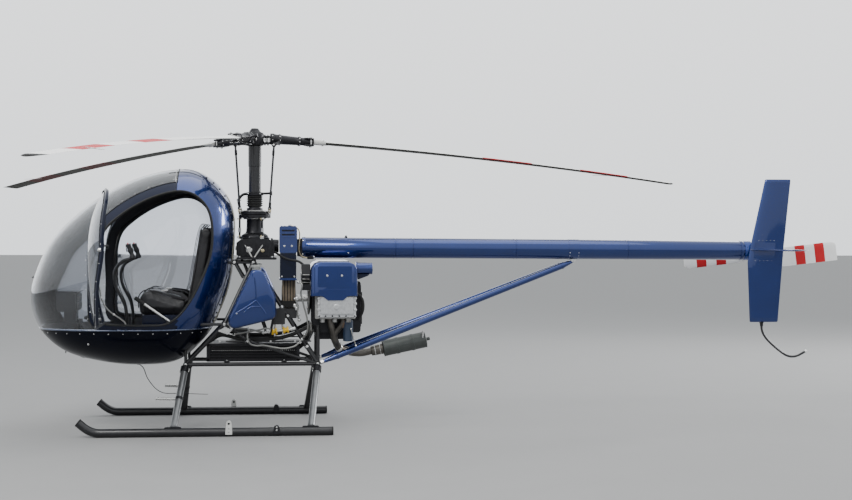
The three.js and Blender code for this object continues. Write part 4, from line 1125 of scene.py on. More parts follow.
def build_controls():
    form = Form("cyclic_sticks")
    for y in (-240, 240):
        shaft = spline([(x, y, z) for x, z in STICK], step=16)
        form.add(tube(shaft, 12.5, 16), BLACK)
        grip = spline([(-884, y, 1248), (-886, y, 1275), (-897, y, 1310), (-912, y, 1350)], step=6)
        swellings = 19 + 3.2 * np.sin(np.linspace(0, 4 * math.pi, len(grip)))
        swellings[-1] *= 0.75
        swellings[0] *= 0.8
        form.add(tube(grip, swellings, 18), PLASTIC)
        head = grip[-1]
        form.add(block(head[0] - 20, head[0] + 16, y - 17, y + 17, head[2] - 16, head[2] + 8), PLASTIC)
        form.add(lathe(head + (-6, 0, 6), head + (-6, 0, 30), [(0, 6), (8, 6), (12, 4)], 12), RED)
        form.add(lathe(head + (10, 0, 6), head + (10, 0, 30), [(0, 5), (7, 5), (9, 3)], 12), BLACK_ALLOY)
        trigger = spline([(-915, y, 1338), (-928, y, 1322), (-922, y, 1300)], step=6)
        form.add(tube(trigger, 4.0, 8), BLACK_ALLOY)
        lead = spline([(-884, y - 10, 1256), (-920, y - 15, 1236), (-985, y - 14, 1190),
                       (-995, y - 14, 1120), (-975, y - 14, 1040), (-925, y - 14, 910),
                       (-914, y - 14, 720)], step=16)
        form.add(tube(lead, 3.2, 8), RUBBER)
        boot = np.array([-930.0, y, 591.0])
        profile = [(0, 42), (6, 40), (18, 34), (24, 36), (36, 28), (42, 30), (56, 20), (62, 15)]
        form.add(lathe(boot, boot + (0, 0, 1), profile, 24), RUBBER)
    form.add(bar((-929, -240, 640), (-929, 240, 640), 12), BLACK)
    form.done(replaces="control_sticks", slot="black_alloy", bevel=1.0)
    pedals = Form("rudder_pedals")
    for y in (-270, -170, 170, 270):
        pedals.add(bar((-1150, y, 640), (-1265, y, 800), 9), BLACK)
        pedals.add(bar((-1265, y - 40, 800), (-1265, y + 40, 800), 12, edge=3), BLACK_ALLOY)
        for step in range(-32, 33, 8):
            pedals.add(hoop((-1265, y + step, 800), (0, 1, 0), 12.0, 1.4, 20, 6), BLACK_ALLOY)
    pedals.add(bar((-1150, -280, 640), (-1150, 280, 640), 10), MACHINED)
    for y in (-100, 100):
        pedals.add(bar((-1150, y, 591), (-1150, y, 640), 10), BLACK_ALLOY)
        pedals.add(plate(-1180, -1120, y - 26, y + 26, 590.5, 597, 2), BLACK_ALLOY)
    pedals.done(replaces="pedals", slot="black_alloy")
    conduit = Form("pillar_conduit")
    route = [(-1130, 1112, SKIN - 1), (-1120, 1104, 34), (-1096, 1060, 44), (-1074, 958, 44),
             (-1030, 880, 44), (-945, 812, 44), (-912, 786, 36), (-905, 762, SKIN - 1)]
    run = spline([on_cabin([(x, z)], PORT, -depth)[0] for x, z, depth in route], step=12)
    conduit.add(tube(run, 5.0, 12), HOSE)
    for place in (run[0], run[-1]):
        conduit.add(rivet(place, (0, 1, 0), 9.0), MACHINED)
    for share in (0.35, 0.7):
        spot = run[int(len(run) * share)]
        ahead = unit(run[int(len(run) * share) + 1] - spot)
        conduit.add(collar(spot, ahead, 6, 8.5, 14, 14), MACHINED)
    conduit.done()


# Steel frame: starboard places, their Y turned round for port
AHEAD_X, AHEAD_Y, UP = np.array([1.0, 0, 0]), np.array([0, 1.0, 0]), np.array([0, 0, 1.0])
JOINTS = {
    "apex": (-8, 200, 1225), "top": (-146, 215, 1225), "elbow": (-215, 330, 775), "front": (-500, 235, 475),
    "rear": (468, 235, 475), "mid": (-45, 300, 650), "engine": (468, 240, 760), "brace": (-82, 240, 1110),
}
TUBES = [
    ("apex", "elbow", 15), ("elbow", "front", 15), ("apex", "rear", 15), ("front", "rear", 15),
    ("top", "brace", 9), ("top", "apex", 11), ("mid", "rear", 11), ("elbow", "mid", 11),
    ("rear", "engine", 15),
]
TANK_PEGS = [((-157, 294, 900), -100), ((46, 204, 1140), 40)]
CABIN_ARMS = [("front", -500, 636), ("elbow", -405, 775), ("top", -318, 1225)]


def joint(name, side):
    x, y, z = JOINTS[name]
    return np.array([x, side * y, z], float)


def build_frame():
    for name, side in SIDES:
        form = Form(f"tube_frame_{name}")
        for start, end, radius in TUBES:
            a, b = joint(start, side), joint(end, side)
            form.add(bar(a, b, radius, sides=20), BLACK)
            along = unit(b - a)
            for place, way in ((a, along), (b, -along)):
                bead = place + way * (radius + 9)
                form.add(hoop(bead, along, radius - 0.5, 2.6, 24, 8), BLACK)
        for start in ("apex", "top", "elbow", "front", "rear", "mid"):
            place = joint(start, side)
            form.add(ball(place, 19.5), BLACK)
            form.add(bolt(place + (0, side * 17, 0), (0, side, 0), 8.5), MACHINED)
        # Pegs that carry the tank, and arms that carry the cabin
        for (x, y, z), tank_x in TANK_PEGS:
            form.add(bar((x, side * y, z), (tank_x, side * 358, z), 9, sides=14), BLACK)
            profile = [(0, 12), (4, 15), (21.5, 15)]
            form.add(lathe((tank_x, side * 350, z), (tank_x, side * 372, z), profile, 18), MACHINED)
        for start, x, z in CABIN_ARMS:
            a = joint(start, side)
            b = np.array([x, a[1], z], float)
            form.add(bar(a, b, 11, sides=16), BLACK)
            form.add(lathe(b - unit(b - a) * 6, b, [(0, 20), (5, 20)], 20), MACHINED)
        gusset = [(-215, 775), (-150, 745), (-190, 700), (-262, 725)]
        form.add(prism(rounded(gusset, 8), side * 330 - 3, side * 330 + 3), MACHINED)
        for share in (0.44, 0.53, 0.83):
            spot = joint("apex", side) * (1 - share) + joint("rear", side) * share
            along = unit(joint("rear", side) - joint("apex", side))
            form.add(collar(spot, along, 16.5, 18, 18, 20), MACHINED)
        form.done(replaces=f"frame_{name}", slot="black_steel", bevel=0.5)
    for name in ("front", "rear"):
        x, y, z = JOINTS[name]
        form = Form(f"cross_member_{name}")
        form.add(bar((x, 19.5 - y, z), (x, y - 19.5, z), 15), BLACK)
        for spot in (-0.96, 0.96):
            form.add(hoop((x, spot * (y - 20), z), (0, 1, 0), 15, 2.6, 24, 8), BLACK)
        for spot in (-60, 60):
            form.add(collar(np.array([x, spot, z]), AHEAD_Y, 17, 18, 16, 20), MACHINED)
        form.done(replaces=f"cross_tube_{name}", slot="black_steel")


TANK_OUTLINE = [
    (-28, 1150), (-5, 1178), (50, 1178), (80, 1150), (155, 985), (158, 845), (140, 820), (-140, 752),
    (-172, 765), (-182, 825),
]
TANK_INNER, TANK_OUTER = 372.5, 500.0
TANK_RIBS = [
    [(6, 1120), (14, 1040), (17, 957)], [(17, 957), (-58, 905), (-133, 862)],
    [(17, 957), (60, 900), (86, 862)],
    [(-66, 868), (-50, 890), (-18, 908), (17, 912), (57, 905), (76, 880)],
]


def build_tanks():
    for name, side in SIDES:
        form = Form(f"tank_{name}")
        ring = rounded(TANK_OUTLINE, 30, 5)
        middle = ring.mean(axis=0)
        ends = ((TANK_INNER, 14), (TANK_INNER + 6, 5), (TANK_INNER + 14, 0), (TANK_OUTER - 22, 0),
                (TANK_OUTER - 12, 2), (TANK_OUTER - 4, 8), (TANK_OUTER, 18))
        form.add(pulled_loft(ring, middle, [(side * y, pull) for y, pull in ends]), BLUE)
        for rib in TANK_RIBS:
            path = spline([(x, side * (TANK_OUTER - 1.5), z) for x, z in rib], step=9)
            form.add(tube(path, 5.0, 10), BLUE)
        seam = [(x, side * (TANK_INNER + TANK_OUTER) / 2, z) for x, z in offset_loop(ring, 0.8)]
        form.add(tube(spline(seam, closed=True, step=12), 3.0, 8, closed=True), BLUE)
        # Filler cap with its grips, and the drain
        cap = np.array([16.0, side * 440, 1174.0])
        profile = [(0, 30), (8, 30), (10, 26), (16, 26), (18, 33), (34, 33), (37, 29)]
        form.add(lathe(cap, cap + (0, 0, 1), profile, 28), CAP_GREY)
        for turn in range(12):
            grip = cap + polar(33, turn * 30, 18)
            form.add(bar(grip, grip + (0, 0, 15), 2.2, sides=6), CAP_GREY)
        drain = np.array([-121.0, side * TANK_OUTER, 862.0])
        form.add(rivet(drain, (0, side, 0), 6.0), MACHINED)
        for x, z in ((-100, 900), (40, 1140)):
            form.add(lathe((x, side * TANK_INNER, z), (x, side * 400, z), [(0, 20), (6, 20)], 20), BLUE)
        form.done(replaces=f"fuel_tank_{name}", slot="blue_alloy")
        stays = Form(f"tank_stays_{name}")
        stays.add(bar((150, side * (TANK_INNER - 1), 850), (120, side * 350, 700), 6, sides=10),
                  BLACK_ALLOY)
        stays.add(bar((-140, side * (TANK_INNER - 1), 770), (-150, side * 345, 700), 6, sides=10),
                  BLACK_ALLOY)
        stays.done()


# Skid gear
SKID_Y, SKID_R = 650.5, 31.0
LEG_R = 26.0
LEGS = (("gear_front", -500, -565), ("gear_rear", 468, 406))


def build_gear():
    for name, side in SIDES:
        y = side * SKID_Y
        form = Form(f"skid_tube_{name}")
        level = [(x, y, SKID_R) for x in (565, 200, -300, -800, -1060)]
        nose = [(-1060, y, SKID_R), (-1105, y, SKID_R + 3), (-1160, y, SKID_R + 26), (-1225, y, 108)]
        path = np.concatenate([spline(level, step=60)[:-1], spline(nose, step=12)])
        form.add(tube(path, SKID_R, 28), BLACK)
        for end, way in ((path[0], path[0] - path[1]), (path[-1], path[-1] - path[-2])):
            profile = [(0, SKID_R), (9, SKID_R), (11, SKID_R - 4), (11.5, SKID_R - 12)]
            form.add(lathe(end - unit(way) * 8, end + unit(way), profile, 28), RUBBER)
        for x0, x1 in ((-900, -180), (190, 540)):
            form.add(plate(x0, x1, y - 15, y + 15, 1.0, 7.0, 3), BLACK_ALLOY)
        form.add(prism(rounded(lug_outline(165, 24, 80), 3, 2), y - 34, y + 34), BLACK_ALLOY)
        for z in (44, 64):
            form.add(bolt((165, y + side * 34, z), (0, side, 0), 5), MACHINED)
        # Ground-wheel lug with its pin hole, drawn as a near-black plug of painted shade
        inner, outer = side * (SKID_Y + SKID_R - 1.5), side * (SKID_Y + SKID_R + 8)
        form.add(prism(rounded(lug_outline(-172, 24, 116), 3, 2), inner, outer), LUG_PAINT)
        form.add(lathe((-172, inner - side, 94), (-172, outer, 94), [(0, 8.5), (12, 8.5)], 20), SHADE_FILL_OPENINGS)
        form.add(hoop((-172, outer, 94), (0, 1, 0), 9.5, 1.6, 24, 6), MACHINED)
        for z in (36, 60):
            form.add(bolt((-172, outer, z), (0, side, 0), 4.5), MACHINED)
        form.done(replaces=f"skid_{name}", slot="black_alloy")
        for leg_name, top_x, foot_x in LEGS:
            build_leg(leg_name, name, side, top_x, foot_x)


def lug_outline(x, half, top):
    """Side view of a lug that tapers to a rounded top."""
    radius = half * 0.75
    arch = [(x + radius * math.cos(a), top - radius + radius * math.sin(a))
            for a in np.linspace(0.25, math.pi - 0.25, 9)]
    return [(x - half, 16), (x + half, 16), (x + half, 40)] + arch + [(x - half, 40)]


def build_leg(leg_name, name, side, top_x, foot_x):
    # Near (port) legs are silver and far (starboard) legs are black: the black is painted shade, as the far
    # legs stand in shadow
    paint = SILVER_LEG if side < 0 else BLACK
    top = np.array([top_x, side * 235.0, 477.0])
    foot = np.array([foot_x, side * SKID_Y, SKID_R])
    down = unit(foot - top)
    length = np.linalg.norm(foot - top)
    form = Form(f"{leg_name}_strut_{name}")
    profile = [(20, 20), (22, 21), (33, 21), (35, 25), (60, LEG_R), (length - 34, LEG_R)]
    form.add(lathe(top, foot, profile, 28), paint)
    form.add(lathe(top, foot, [(29, 29), (31, 31), (78, 31), (81, 28)], 28), BLACK_ALLOY)
    form.add(hoop(foot - down * (SKID_R + 10), down, LEG_R + 1.0, 3.0, 28, 8), paint)
    for reach in (46, 66):
        for way in (1, -1):
            form.add(bolt(top + down * reach + AHEAD_X * way * 30, AHEAD_X * way, 5.5), MACHINED)
    # Saddle on the skid, and a step on the front legs
    saddle = rounded(rect(foot_x - 62, foot_x + 62, SKID_R + 4, SKID_R + 40), 16)
    form.add(prism(saddle, foot[1] - 12, foot[1] + 12), BLACK_ALLOY)
    if leg_name == "gear_front":
        root = top + down * ((477 - 245) / -down[2])
        end = np.array([-700.0, root[1] + side * 14, 251.0])
        form.add(bar(root, end, 9.4, sides=16), MACHINED)
        profile = [(0, LEG_R + 0.5), (2, LEG_R + 2.5), (22, LEG_R + 2.5), (24, LEG_R + 0.5)]
        form.add(lathe(root - down * 12, root, profile, 26), BLACK_ALLOY)
        for share in np.linspace(0.3, 0.98, 10):
            form.add(hoop(root + (end - root) * share, end - root, 9.6, 2.4, 18, 8), STEP_GRIT)
    form.done(replaces=f"{leg_name}_{name}", slot="grey_alloy", bevel=1.0)


# Gearbox, swashplate and belt drive
CRANK_Z = 950
BLOWER_Y, BLOWER_Z = -262, 1136
PULLEY_BOLT_TURN = 59.98868
DECK_Z = 1262
FIXED_RING, TURNING_RING = (1555, 1578), (1580, 1603)
FIXED_BORE, TURNING_BORE = 60.4, 64.5
COVER_FACE = 394.5
HEAD_FACE = 330.4


def build_gearbox():
    form = Form("rotor_gearbox")
    outline = [(-126, 1264), (148, 1264), (148, 1360), (110, 1398), (-90, 1398), (-126, 1360)]
    form.add(prism(rounded(outline, 16), -138, 138), BLACK_ALLOY)
    form.add(plate(-131, 164, -231, 231, 1245, DECK_Z, 6), BLACK_ALLOY)
    for y in (-120, -60, 0, 60, 120):
        outline = [(-126, 1275), (-136, 1280), (-134, 1370), (-100, 1396), (-80, 1390)]
        form.add(prism(rounded(outline, 4), y - 4, y + 4), BLACK_ALLOY)
    for x in np.linspace(-105, 130, 7):
        form.add(block(x - 4, x + 4, -146, 146, 1275, 1362), BLACK_ALLOY)
    # Bearing tower round the mast
    profile = [(0, 112), (10, 112), (14, 104), (30, 98), (40, 82), (46, 70), (60, 64), (100, 61), (228, 60),
               (234, 58)]
    form.add(lathe((0, 0, 1396), (0, 0, 1500), profile, 36), BLACK_ALLOY)
    for turn in range(8):
        form.add(bolt(polar(100, 22.5 + turn * 45, 1407), (0, 0, 1), 7.0), MACHINED)
    # Input shaft housing, sight glass and plugs
    profile = [(0, 60), (14, 60), (18, 50), (61, 48)]
    form.add(lathe((120, 0, 1345), (200, 0, 1345), profile, 28), BLACK_ALLOY)
    profile = [(0, 20), (6, 20), (8, 16), (18, 16)]
    form.add(lathe((-126, -60, 1330), (-160, -60, 1330), profile, 20), MACHINED)
    profile = [(0, 24), (5, 24), (7, 18), (12, 18)]
    form.add(lathe((-40, -138, 1315), (-40, -160, 1315), profile, 24), MACHINED)
    form.add(lathe((60, -138, 1310), (60, -160, 1310), [(0, 14), (8, 14), (10, 11)], 20), BRASS)
    for x in (-110, 130):
        for y in (-215, 215):
            form.add(bolt((x, y, DECK_Z), UP, 9.0), MACHINED)
    for side in (PORT, STARBOARD):
        for x0, x1 in ((-8, -70), (-8, 60)):
            path = spline([(-8, side * 222, 1246), ((x0 + x1) / 2, side * 200, 1300),
                           (x1, side * 148, 1350)], step=14)
            form.add(tube(path, 6.0, 10), CAST)
    form.done(replaces="main_gearbox", slot="black_alloy", bevel=1.5)


# Turns of the three blades about the mast, and how far each horn trails its blade
BLADE_TURNS = (10.24, 130.24, 250.24)
HORN_LAG = 40.0


def rod_end(form, place, axis, radius, paint):
    """A ball joint: a ring round a ball with a bolt through it."""
    form.add(hoop(place, axis, radius, radius * 0.42, 24, 10), paint)
    form.add(ball(place, radius * 0.78, 14, 8), MACHINED)
    axis = unit(axis)
    form.add(bar(place - axis * radius * 1.5, place + axis * radius * 1.5, radius * 0.3, sides=10),
             MACHINED)
    form.add(bolt(place + axis * radius * 1.2, axis, radius * 0.5), MACHINED)


def build_swashplates():
    low = Form("swash_fixed")
    low.add(ring_plate(*FIXED_RING, FIXED_BORE, 120), BLACK_ALLOY)
    low.add(ring_plate(1545, 1556, FIXED_BORE, 84), CAST)
    for turn in (60, 180, 300):
        foot, head = polar(112, turn, 1408), polar(112, turn, 1545)
        low.add(bar(foot, head, 8, sides=14), BLACK)
        low.add(lathe(foot + (0, 0, 40), head, [(0, 8), (2, 11), (30, 11), (32, 8)], 12), MACHINED)
        rod_end(low, head + (0, 0, 3), polar(1, turn), 12, BRASS)
        rod_end(low, foot + (0, 0, 4), polar(1, turn), 12, BRASS)
        low.add(block(foot[0] - 14, foot[0] + 14, foot[1] - 14, foot[1] + 14, 1399, 1406), MACHINED)
    for turn in np.arange(0, 360, 45):
        low.add(bolt(polar(104, turn + 12, 1556), (0, 0, -1), 4.5), MACHINED)
    low.done(replaces="swashplate_fixed", slot="grey_alloy")
    high = Form("swash_rotating", "main_rotor")
    high.add(ring_plate(*TURNING_RING, TURNING_BORE, 121), BLACK_ALLOY)
    high.add(ring_plate(1602, 1612, TURNING_BORE, 88), CAST)
    for turn in BLADE_TURNS:
        out = turn - HORN_LAG
        high.add(bar(polar(92, out, 1592), polar(128, out, 1592), 9.5, sides=14), CAST)
        rod_end(high, polar(127, out, 1606), polar(1, out + 90), 11, BRASS)
    for turn in np.arange(0, 360, 40):
        high.add(bolt(polar(106, turn + 9, TURNING_RING[1]), (0, 0, 1), 4.5), MACHINED)
    # Scissor link that turns the upper ring with the mast
    knee = spline([(-96, -40, 1596), (-112, -40, 1640), (-118, -32, 1690), (-90, -10, 1728),
                   (-66, -2, 1736)], step=9)
    high.add(tube(knee, 10.5, 12), BLACK_ALLOY)
    high.add(bar((-122, -52, 1688), (-112, -12, 1692), 13, sides=18), MACHINED)
    high.add(bar((-100, -52, 1602), (-100, -26, 1602), 12, sides=18), MACHINED)
    high.done(replaces="swashplate_rotating", slot="grey_alloy")


def build_belt_drive():
    form = Form("belt_housing")
    top = rounded(rect(183, 316, 1292, 1494), 20)
    form.add(prism(top, -164, 164), BLUE)
    form.add(plate(189, 310, -152, 152, 1104, 1300, 6), NAVY)
    form.add(plate(185, 314, -156, 156, 1091, 1106, 4), BLUE)
    for z in (1408, 1438, 1468):
        rib = rounded(rect(196, 303, z, z + 13), 5)
        for side in (PORT, STARBOARD):
            form.add(prism(rib, side * 160, side * 169), BLUE)
    # Slots drawn as near-black panels on the face: painted shade
    for z in (1424, 1454):
        slot = rounded(rect(202, 297, z, z + 10), 4)
        for side in (PORT, STARBOARD):
            form.add(prism(slot, side * 160, side * 164.8), SHADE_FILL_OPENINGS)
    for z in (1492, 1494):
        for x in np.linspace(200, 300, 5):
            form.add(bar((x, -150, z), (x, 150, z), 4.0, sides=8), BLUE)
    for side in (PORT, STARBOARD):
        for x in (222, 277):
            form.add(bolt((x, side * 164, 1345), (0, side, 0), 6.5), MACHINED)
        form.add(plate(186, 313, side * 150, side * 166, 1296, 1304, 3), BLUE)
        for x in (203, 296):
            form.add(bolt((x, side * 152, 1118), (0, side, 0), 5.0), MACHINED)
    form.done(replaces="belt_cover", slot="blue_alloy", bevel=1.2)
    belts = Form("v_belts")
    for x in np.linspace(214, 298, 5):
        for y in (-93, 80):
            belts.add(block(x - 7.5, x + 7.5, y, y + 13, CRANK_Z, 1090), BELT)
        belts.add(half_hoop((x, 0, CRANK_Z), 86.5, 13, 15), BELT)
    profile = [(0, 60), (2, 100), (6, 101), (10, 82), (96, 82), (100, 101), (104, 100), (106, 60)]
    belts.add(lathe((202, 0, CRANK_Z), (310, 0, CRANK_Z), profile, 48), BLACK_ALLOY)
    belts.add(plate(206, 306, -70, 70, 985, 1088, 4), BLACK_ALLOY)
    for side in (PORT, STARBOARD):
        belts.add(plate(200, 309, side * 92, side * 98, 885, 935, 6), RUBBER)
    belts.done(replaces="drive_belts", slot="rubber")


def half_hoop(centre, radius, thickness, width, around=28):
    """The lower half of a flat belt round a pulley whose axis is X."""
    rings = []
    for turn in np.linspace(math.pi, 2 * math.pi, around):
        out = np.array([0, math.cos(turn), math.sin(turn)])
        ring = []
        for w, t in ((-0.5, -0.5), (0.5, -0.5), (0.5, 0.5), (-0.5, 0.5)):
            ring.append(np.asarray(centre, float) + out * (radius + t * thickness) + (w * width, 0, 0))
        rings.append(ring)
    return loft(rings)


# Engine: flat-four block with two heads, valve covers and a box over it
def build_engine():
    form = Form("flat_engine")
    # Crankcase, sump and cooling ribs
    form.add(plate(432, 788, -188, 188, 702, 1086, 24), BLACK_ALLOY)
    form.add(prism(rounded([(462, 648), (728, 648), (740, 704), (450, 704)], 16), -118, 118), BLACK_ALLOY)
    for y in np.linspace(-170, 170, 9):
        form.add(plate(426, 792, y - 3, y + 3, 740, 1060, 12), BLACK_ALLOY)
    # Heads with their fins, ports and plug leads
    for side in (PORT, STARBOARD):
        form.add(plate(454, 736, side * 186, side * 329.5, 817, 983, 14), CAST)
        for reach in range(198, 322, 14):
            form.add(plate(446, 744, side * reach, side * (reach + 4), 811, 984, 10), CAST)
        form.add(plate(456, 480, side * 185, side * 224, 726, 754, 5), BLACK_ALLOY)
        for x in (500, 590, 690):
            profile = [(0, 24), (6, 24), (8, 18), (30, 18)]
            form.add(lathe((x, side * 310, 816), (x, side * 310, 780), profile, 20), CAST)
        for x in (480, 700):
            plug = np.array([x, side * 300, 990.0])
            form.add(bar(plug - (0, 0, 16), plug - (0, 0, 2), 9, sides=12), RUBBER)
    # Oil filter and its copper-coloured neighbour
    profile = [(0, 30), (3, 37), (150, 38), (154, 34), (176, 20)]
    form.add(lathe((690, -262, 642), (690, -262, 820), profile, 28), FILTER_BLUE)
    form.add(lathe((660, -262, 742), (660, -262, 800), [(0, 20), (30, 27), (54, 27), (58, 20)], 24), COPPER)
    # Alternator: ribbed drum, pulley and bracket
    profile = [(0, 60), (4, 70), (30, 74), (60, 74), (64, 64)]
    form.add(lathe((346, BLOWER_Y, BLOWER_Z), (410, BLOWER_Y, BLOWER_Z), profile, 36), BLACK_ALLOY)
    for turn in range(14):
        a = np.array([352, BLOWER_Y, BLOWER_Z]) + 72 * around_x(turn * 360 / 14)
        form.add(bar(a, a + (54, 0, 0), 4, sides=6), CAST)
    profile = [(-3, 40), (0, 44), (4, 44), (6, 20)]
    form.add(lathe((345.5, BLOWER_Y, BLOWER_Z), (330, BLOWER_Y, BLOWER_Z), profile, 30), MACHINED)
    form.add(plate(346, 411, -338, -186, 1140, 1213, 6), PLASTIC)
    form.add(plate(347, 431, -299, -151, 1021, 1066, 6), BLACK_ALLOY)
    # Crankshaft end with its drive flange
    form.add(bar((311, 0, CRANK_Z), (436, 0, CRANK_Z), 26, sides=24), MACHINED)
    profile = [(0, 118), (4, 124), (14, 124), (18, 110), (30, 60)]
    form.add(lathe((396, 0, CRANK_Z), (440, 0, CRANK_Z), profile, 44), CAST)
    for turn in range(6):
        form.add(bolt(np.array([396, 0, CRANK_Z]) + 80 * around_x(turn * PULLEY_BOLT_TURN), (-1, 0, 0), 8),
                 MACHINED)
    # Lower pulley, coolant pipes and rear caps
    profile = [(0, 48), (3, 54), (9, 44), (15, 54), (18, 48)]
    form.add(lathe((407, -205, 735), (425, -205, 735), profile, 32), CAST)
    for x0, z0, x1, z1 in ((793, 760, 793, 1000), (600, 700, 700, 700)):
        form.add(bar((x0, -100, z0), (x1 + 1, -100, z1), 11, sides=12), RUBBER)
    profile = [(0, 52), (12, 52), (14, 46), (30, 44), (33, 30)]
    form.add(lathe((788, 90, 900), (840, 90, 900), profile, 32), BLACK_ALLOY)
    form.add(lathe((788, -80, 940), (820, -80, 940), [(0, 34), (20, 34), (24, 22)], 26), CAST)
    form.done(replaces="engine_block", slot="grey_alloy", bevel=1.5)
    for name, side in SIDES:
        build_valve_cover(name, side)
    build_engine_cover()


def build_valve_cover(name, side):
    form = Form(f"valve_lid_{name}")
    low, high = side * HEAD_FACE, side * 372
    outline = [(466, 838), (480, 826), (728, 826), (743, 838), (743, 976), (466, 976)]
    form.add(prism(rounded(outline, 8), low, high), SILVER_CAST)
    inner = rounded([(486, 850), (722, 850), (722, 972), (486, 972)], 18)
    form.add(prism(inner, low, side * 388), SILVER_CAST)
    for x in np.linspace(505, 703, 12):
        form.add(plate(x - 3, x + 3, side * 380, side * 391.5, 856, 968, 2.5), SILVER_CAST)
    for x in (474, 520, 570, 620, 670, 735):
        form.add(lathe((x, low, 834), (x, side * 400, 834), [(0, 11), (42, 11), (44, 9)], 16), SILVER_CAST)
        form.add(bolt((x, side * 374, 834), (0, side, 0), 5.0), BLACK_ALLOY)
    for x in (472, 738):
        for z in (880, 925, 965):
            form.add(lathe((x, low, z), (x, side * 400, z), [(0, 12), (42, 12), (44, 10)], 16), SILVER_CAST)
            form.add(bolt((x, side * 374, z), (0, side, 0), 5.0), MACHINED)
    profile = [(0, 22), (11, 22), (13, 18), (13.2, 10)]
    form.add(lathe((600, side * 380, 902), (600, side * 400, 902), profile, 28), SILVER_CAST)
    form.add(bolt((600, side * 386, 902), (0, side, 0), 6.0), BLACK_ALLOY)
    form.done(replaces=f"valve_cover_{name}", slot="grey_alloy", bevel=1.0)


def build_engine_cover():
    form = Form("cowl_box")
    side_view = [(412.5, 979), (412.5, 1160), (420, 1192), (440, 1216), (470, 1229), (512, 1231.5),
                 (660, 1231.5), (698, 1229), (728, 1216), (746, 1192), (752.5, 1160), (752.5, 979)]
    ring = np.array(side_view, float)
    ends = ((-395, 10), (-392, 4), (-386, 0), (386, 0), (392, 4), (395, 10))
    form.add(pulled_loft(ring, np.array([582.0, 1080.0]), ends), BLUE)
    for side in (PORT, STARBOARD):
        face = side * COVER_FACE
        lip = rounded([(470, 1030), (706, 1030), (706, 984), (680, 980), (648, 950), (536, 950), (500, 979),
                       (470, 984)], 7)
        form.add(prism(lip, face - side * 4, face + side * 3), BLUE)
        form.add(plate(462, 712, face - side * 4, face + side * 1.6, 1046, 1200, 10), BLUE)
        for x in (440, 734):
            form.add(tube([(x, face - side * 2.5, z) for z in np.linspace(1000, 1190, 12)], 4.0, 10), BLUE)
        for x in (532, 639):
            form.add(bolt((x, face + side * 2, 1131), (0, side, 0), 6.5), MACHINED)
    # Air duct at the rear, port side, and its web
    profile = [(0, 50), (12, 50), (16, 45), (112, 43), (117, 44), (121, 44), (123, 40)]
    form.add(lathe((745, -290, 1181), (862, -290, 1181), profile, 32), BLUE)
    # Near-black disc in the duct's open end: painted shade
    form.add(lathe((866, -290, 1181), (870, -290, 1181), [(0, 39), (2.6, 39)], 32), SHADE_FILL_OPENINGS)
    wedge = [(752, 1140), (846, 1140), (835, 1128), (765, 1102), (752, 1100)]
    form.add(prism(rounded(wedge, 6), -322, -258), NAVY)
    for x in (500, 582, 664):
        form.add(bolt((x, 0, 1231), (0, 0, 1), 6.0), MACHINED)
    form.add(plate(470, 694, -300, 300, 1231, 1236, 2), BLUE)
    form.done(replaces="engine_cover", slot="blue_alloy", bevel=1.0)


# Exhaust, muffler and radiator
MUFFLER_START, MUFFLER_END, MUFFLER_R = np.array([968.0, 0, 566]), np.array([1298.0, 0, 636]), 62.0


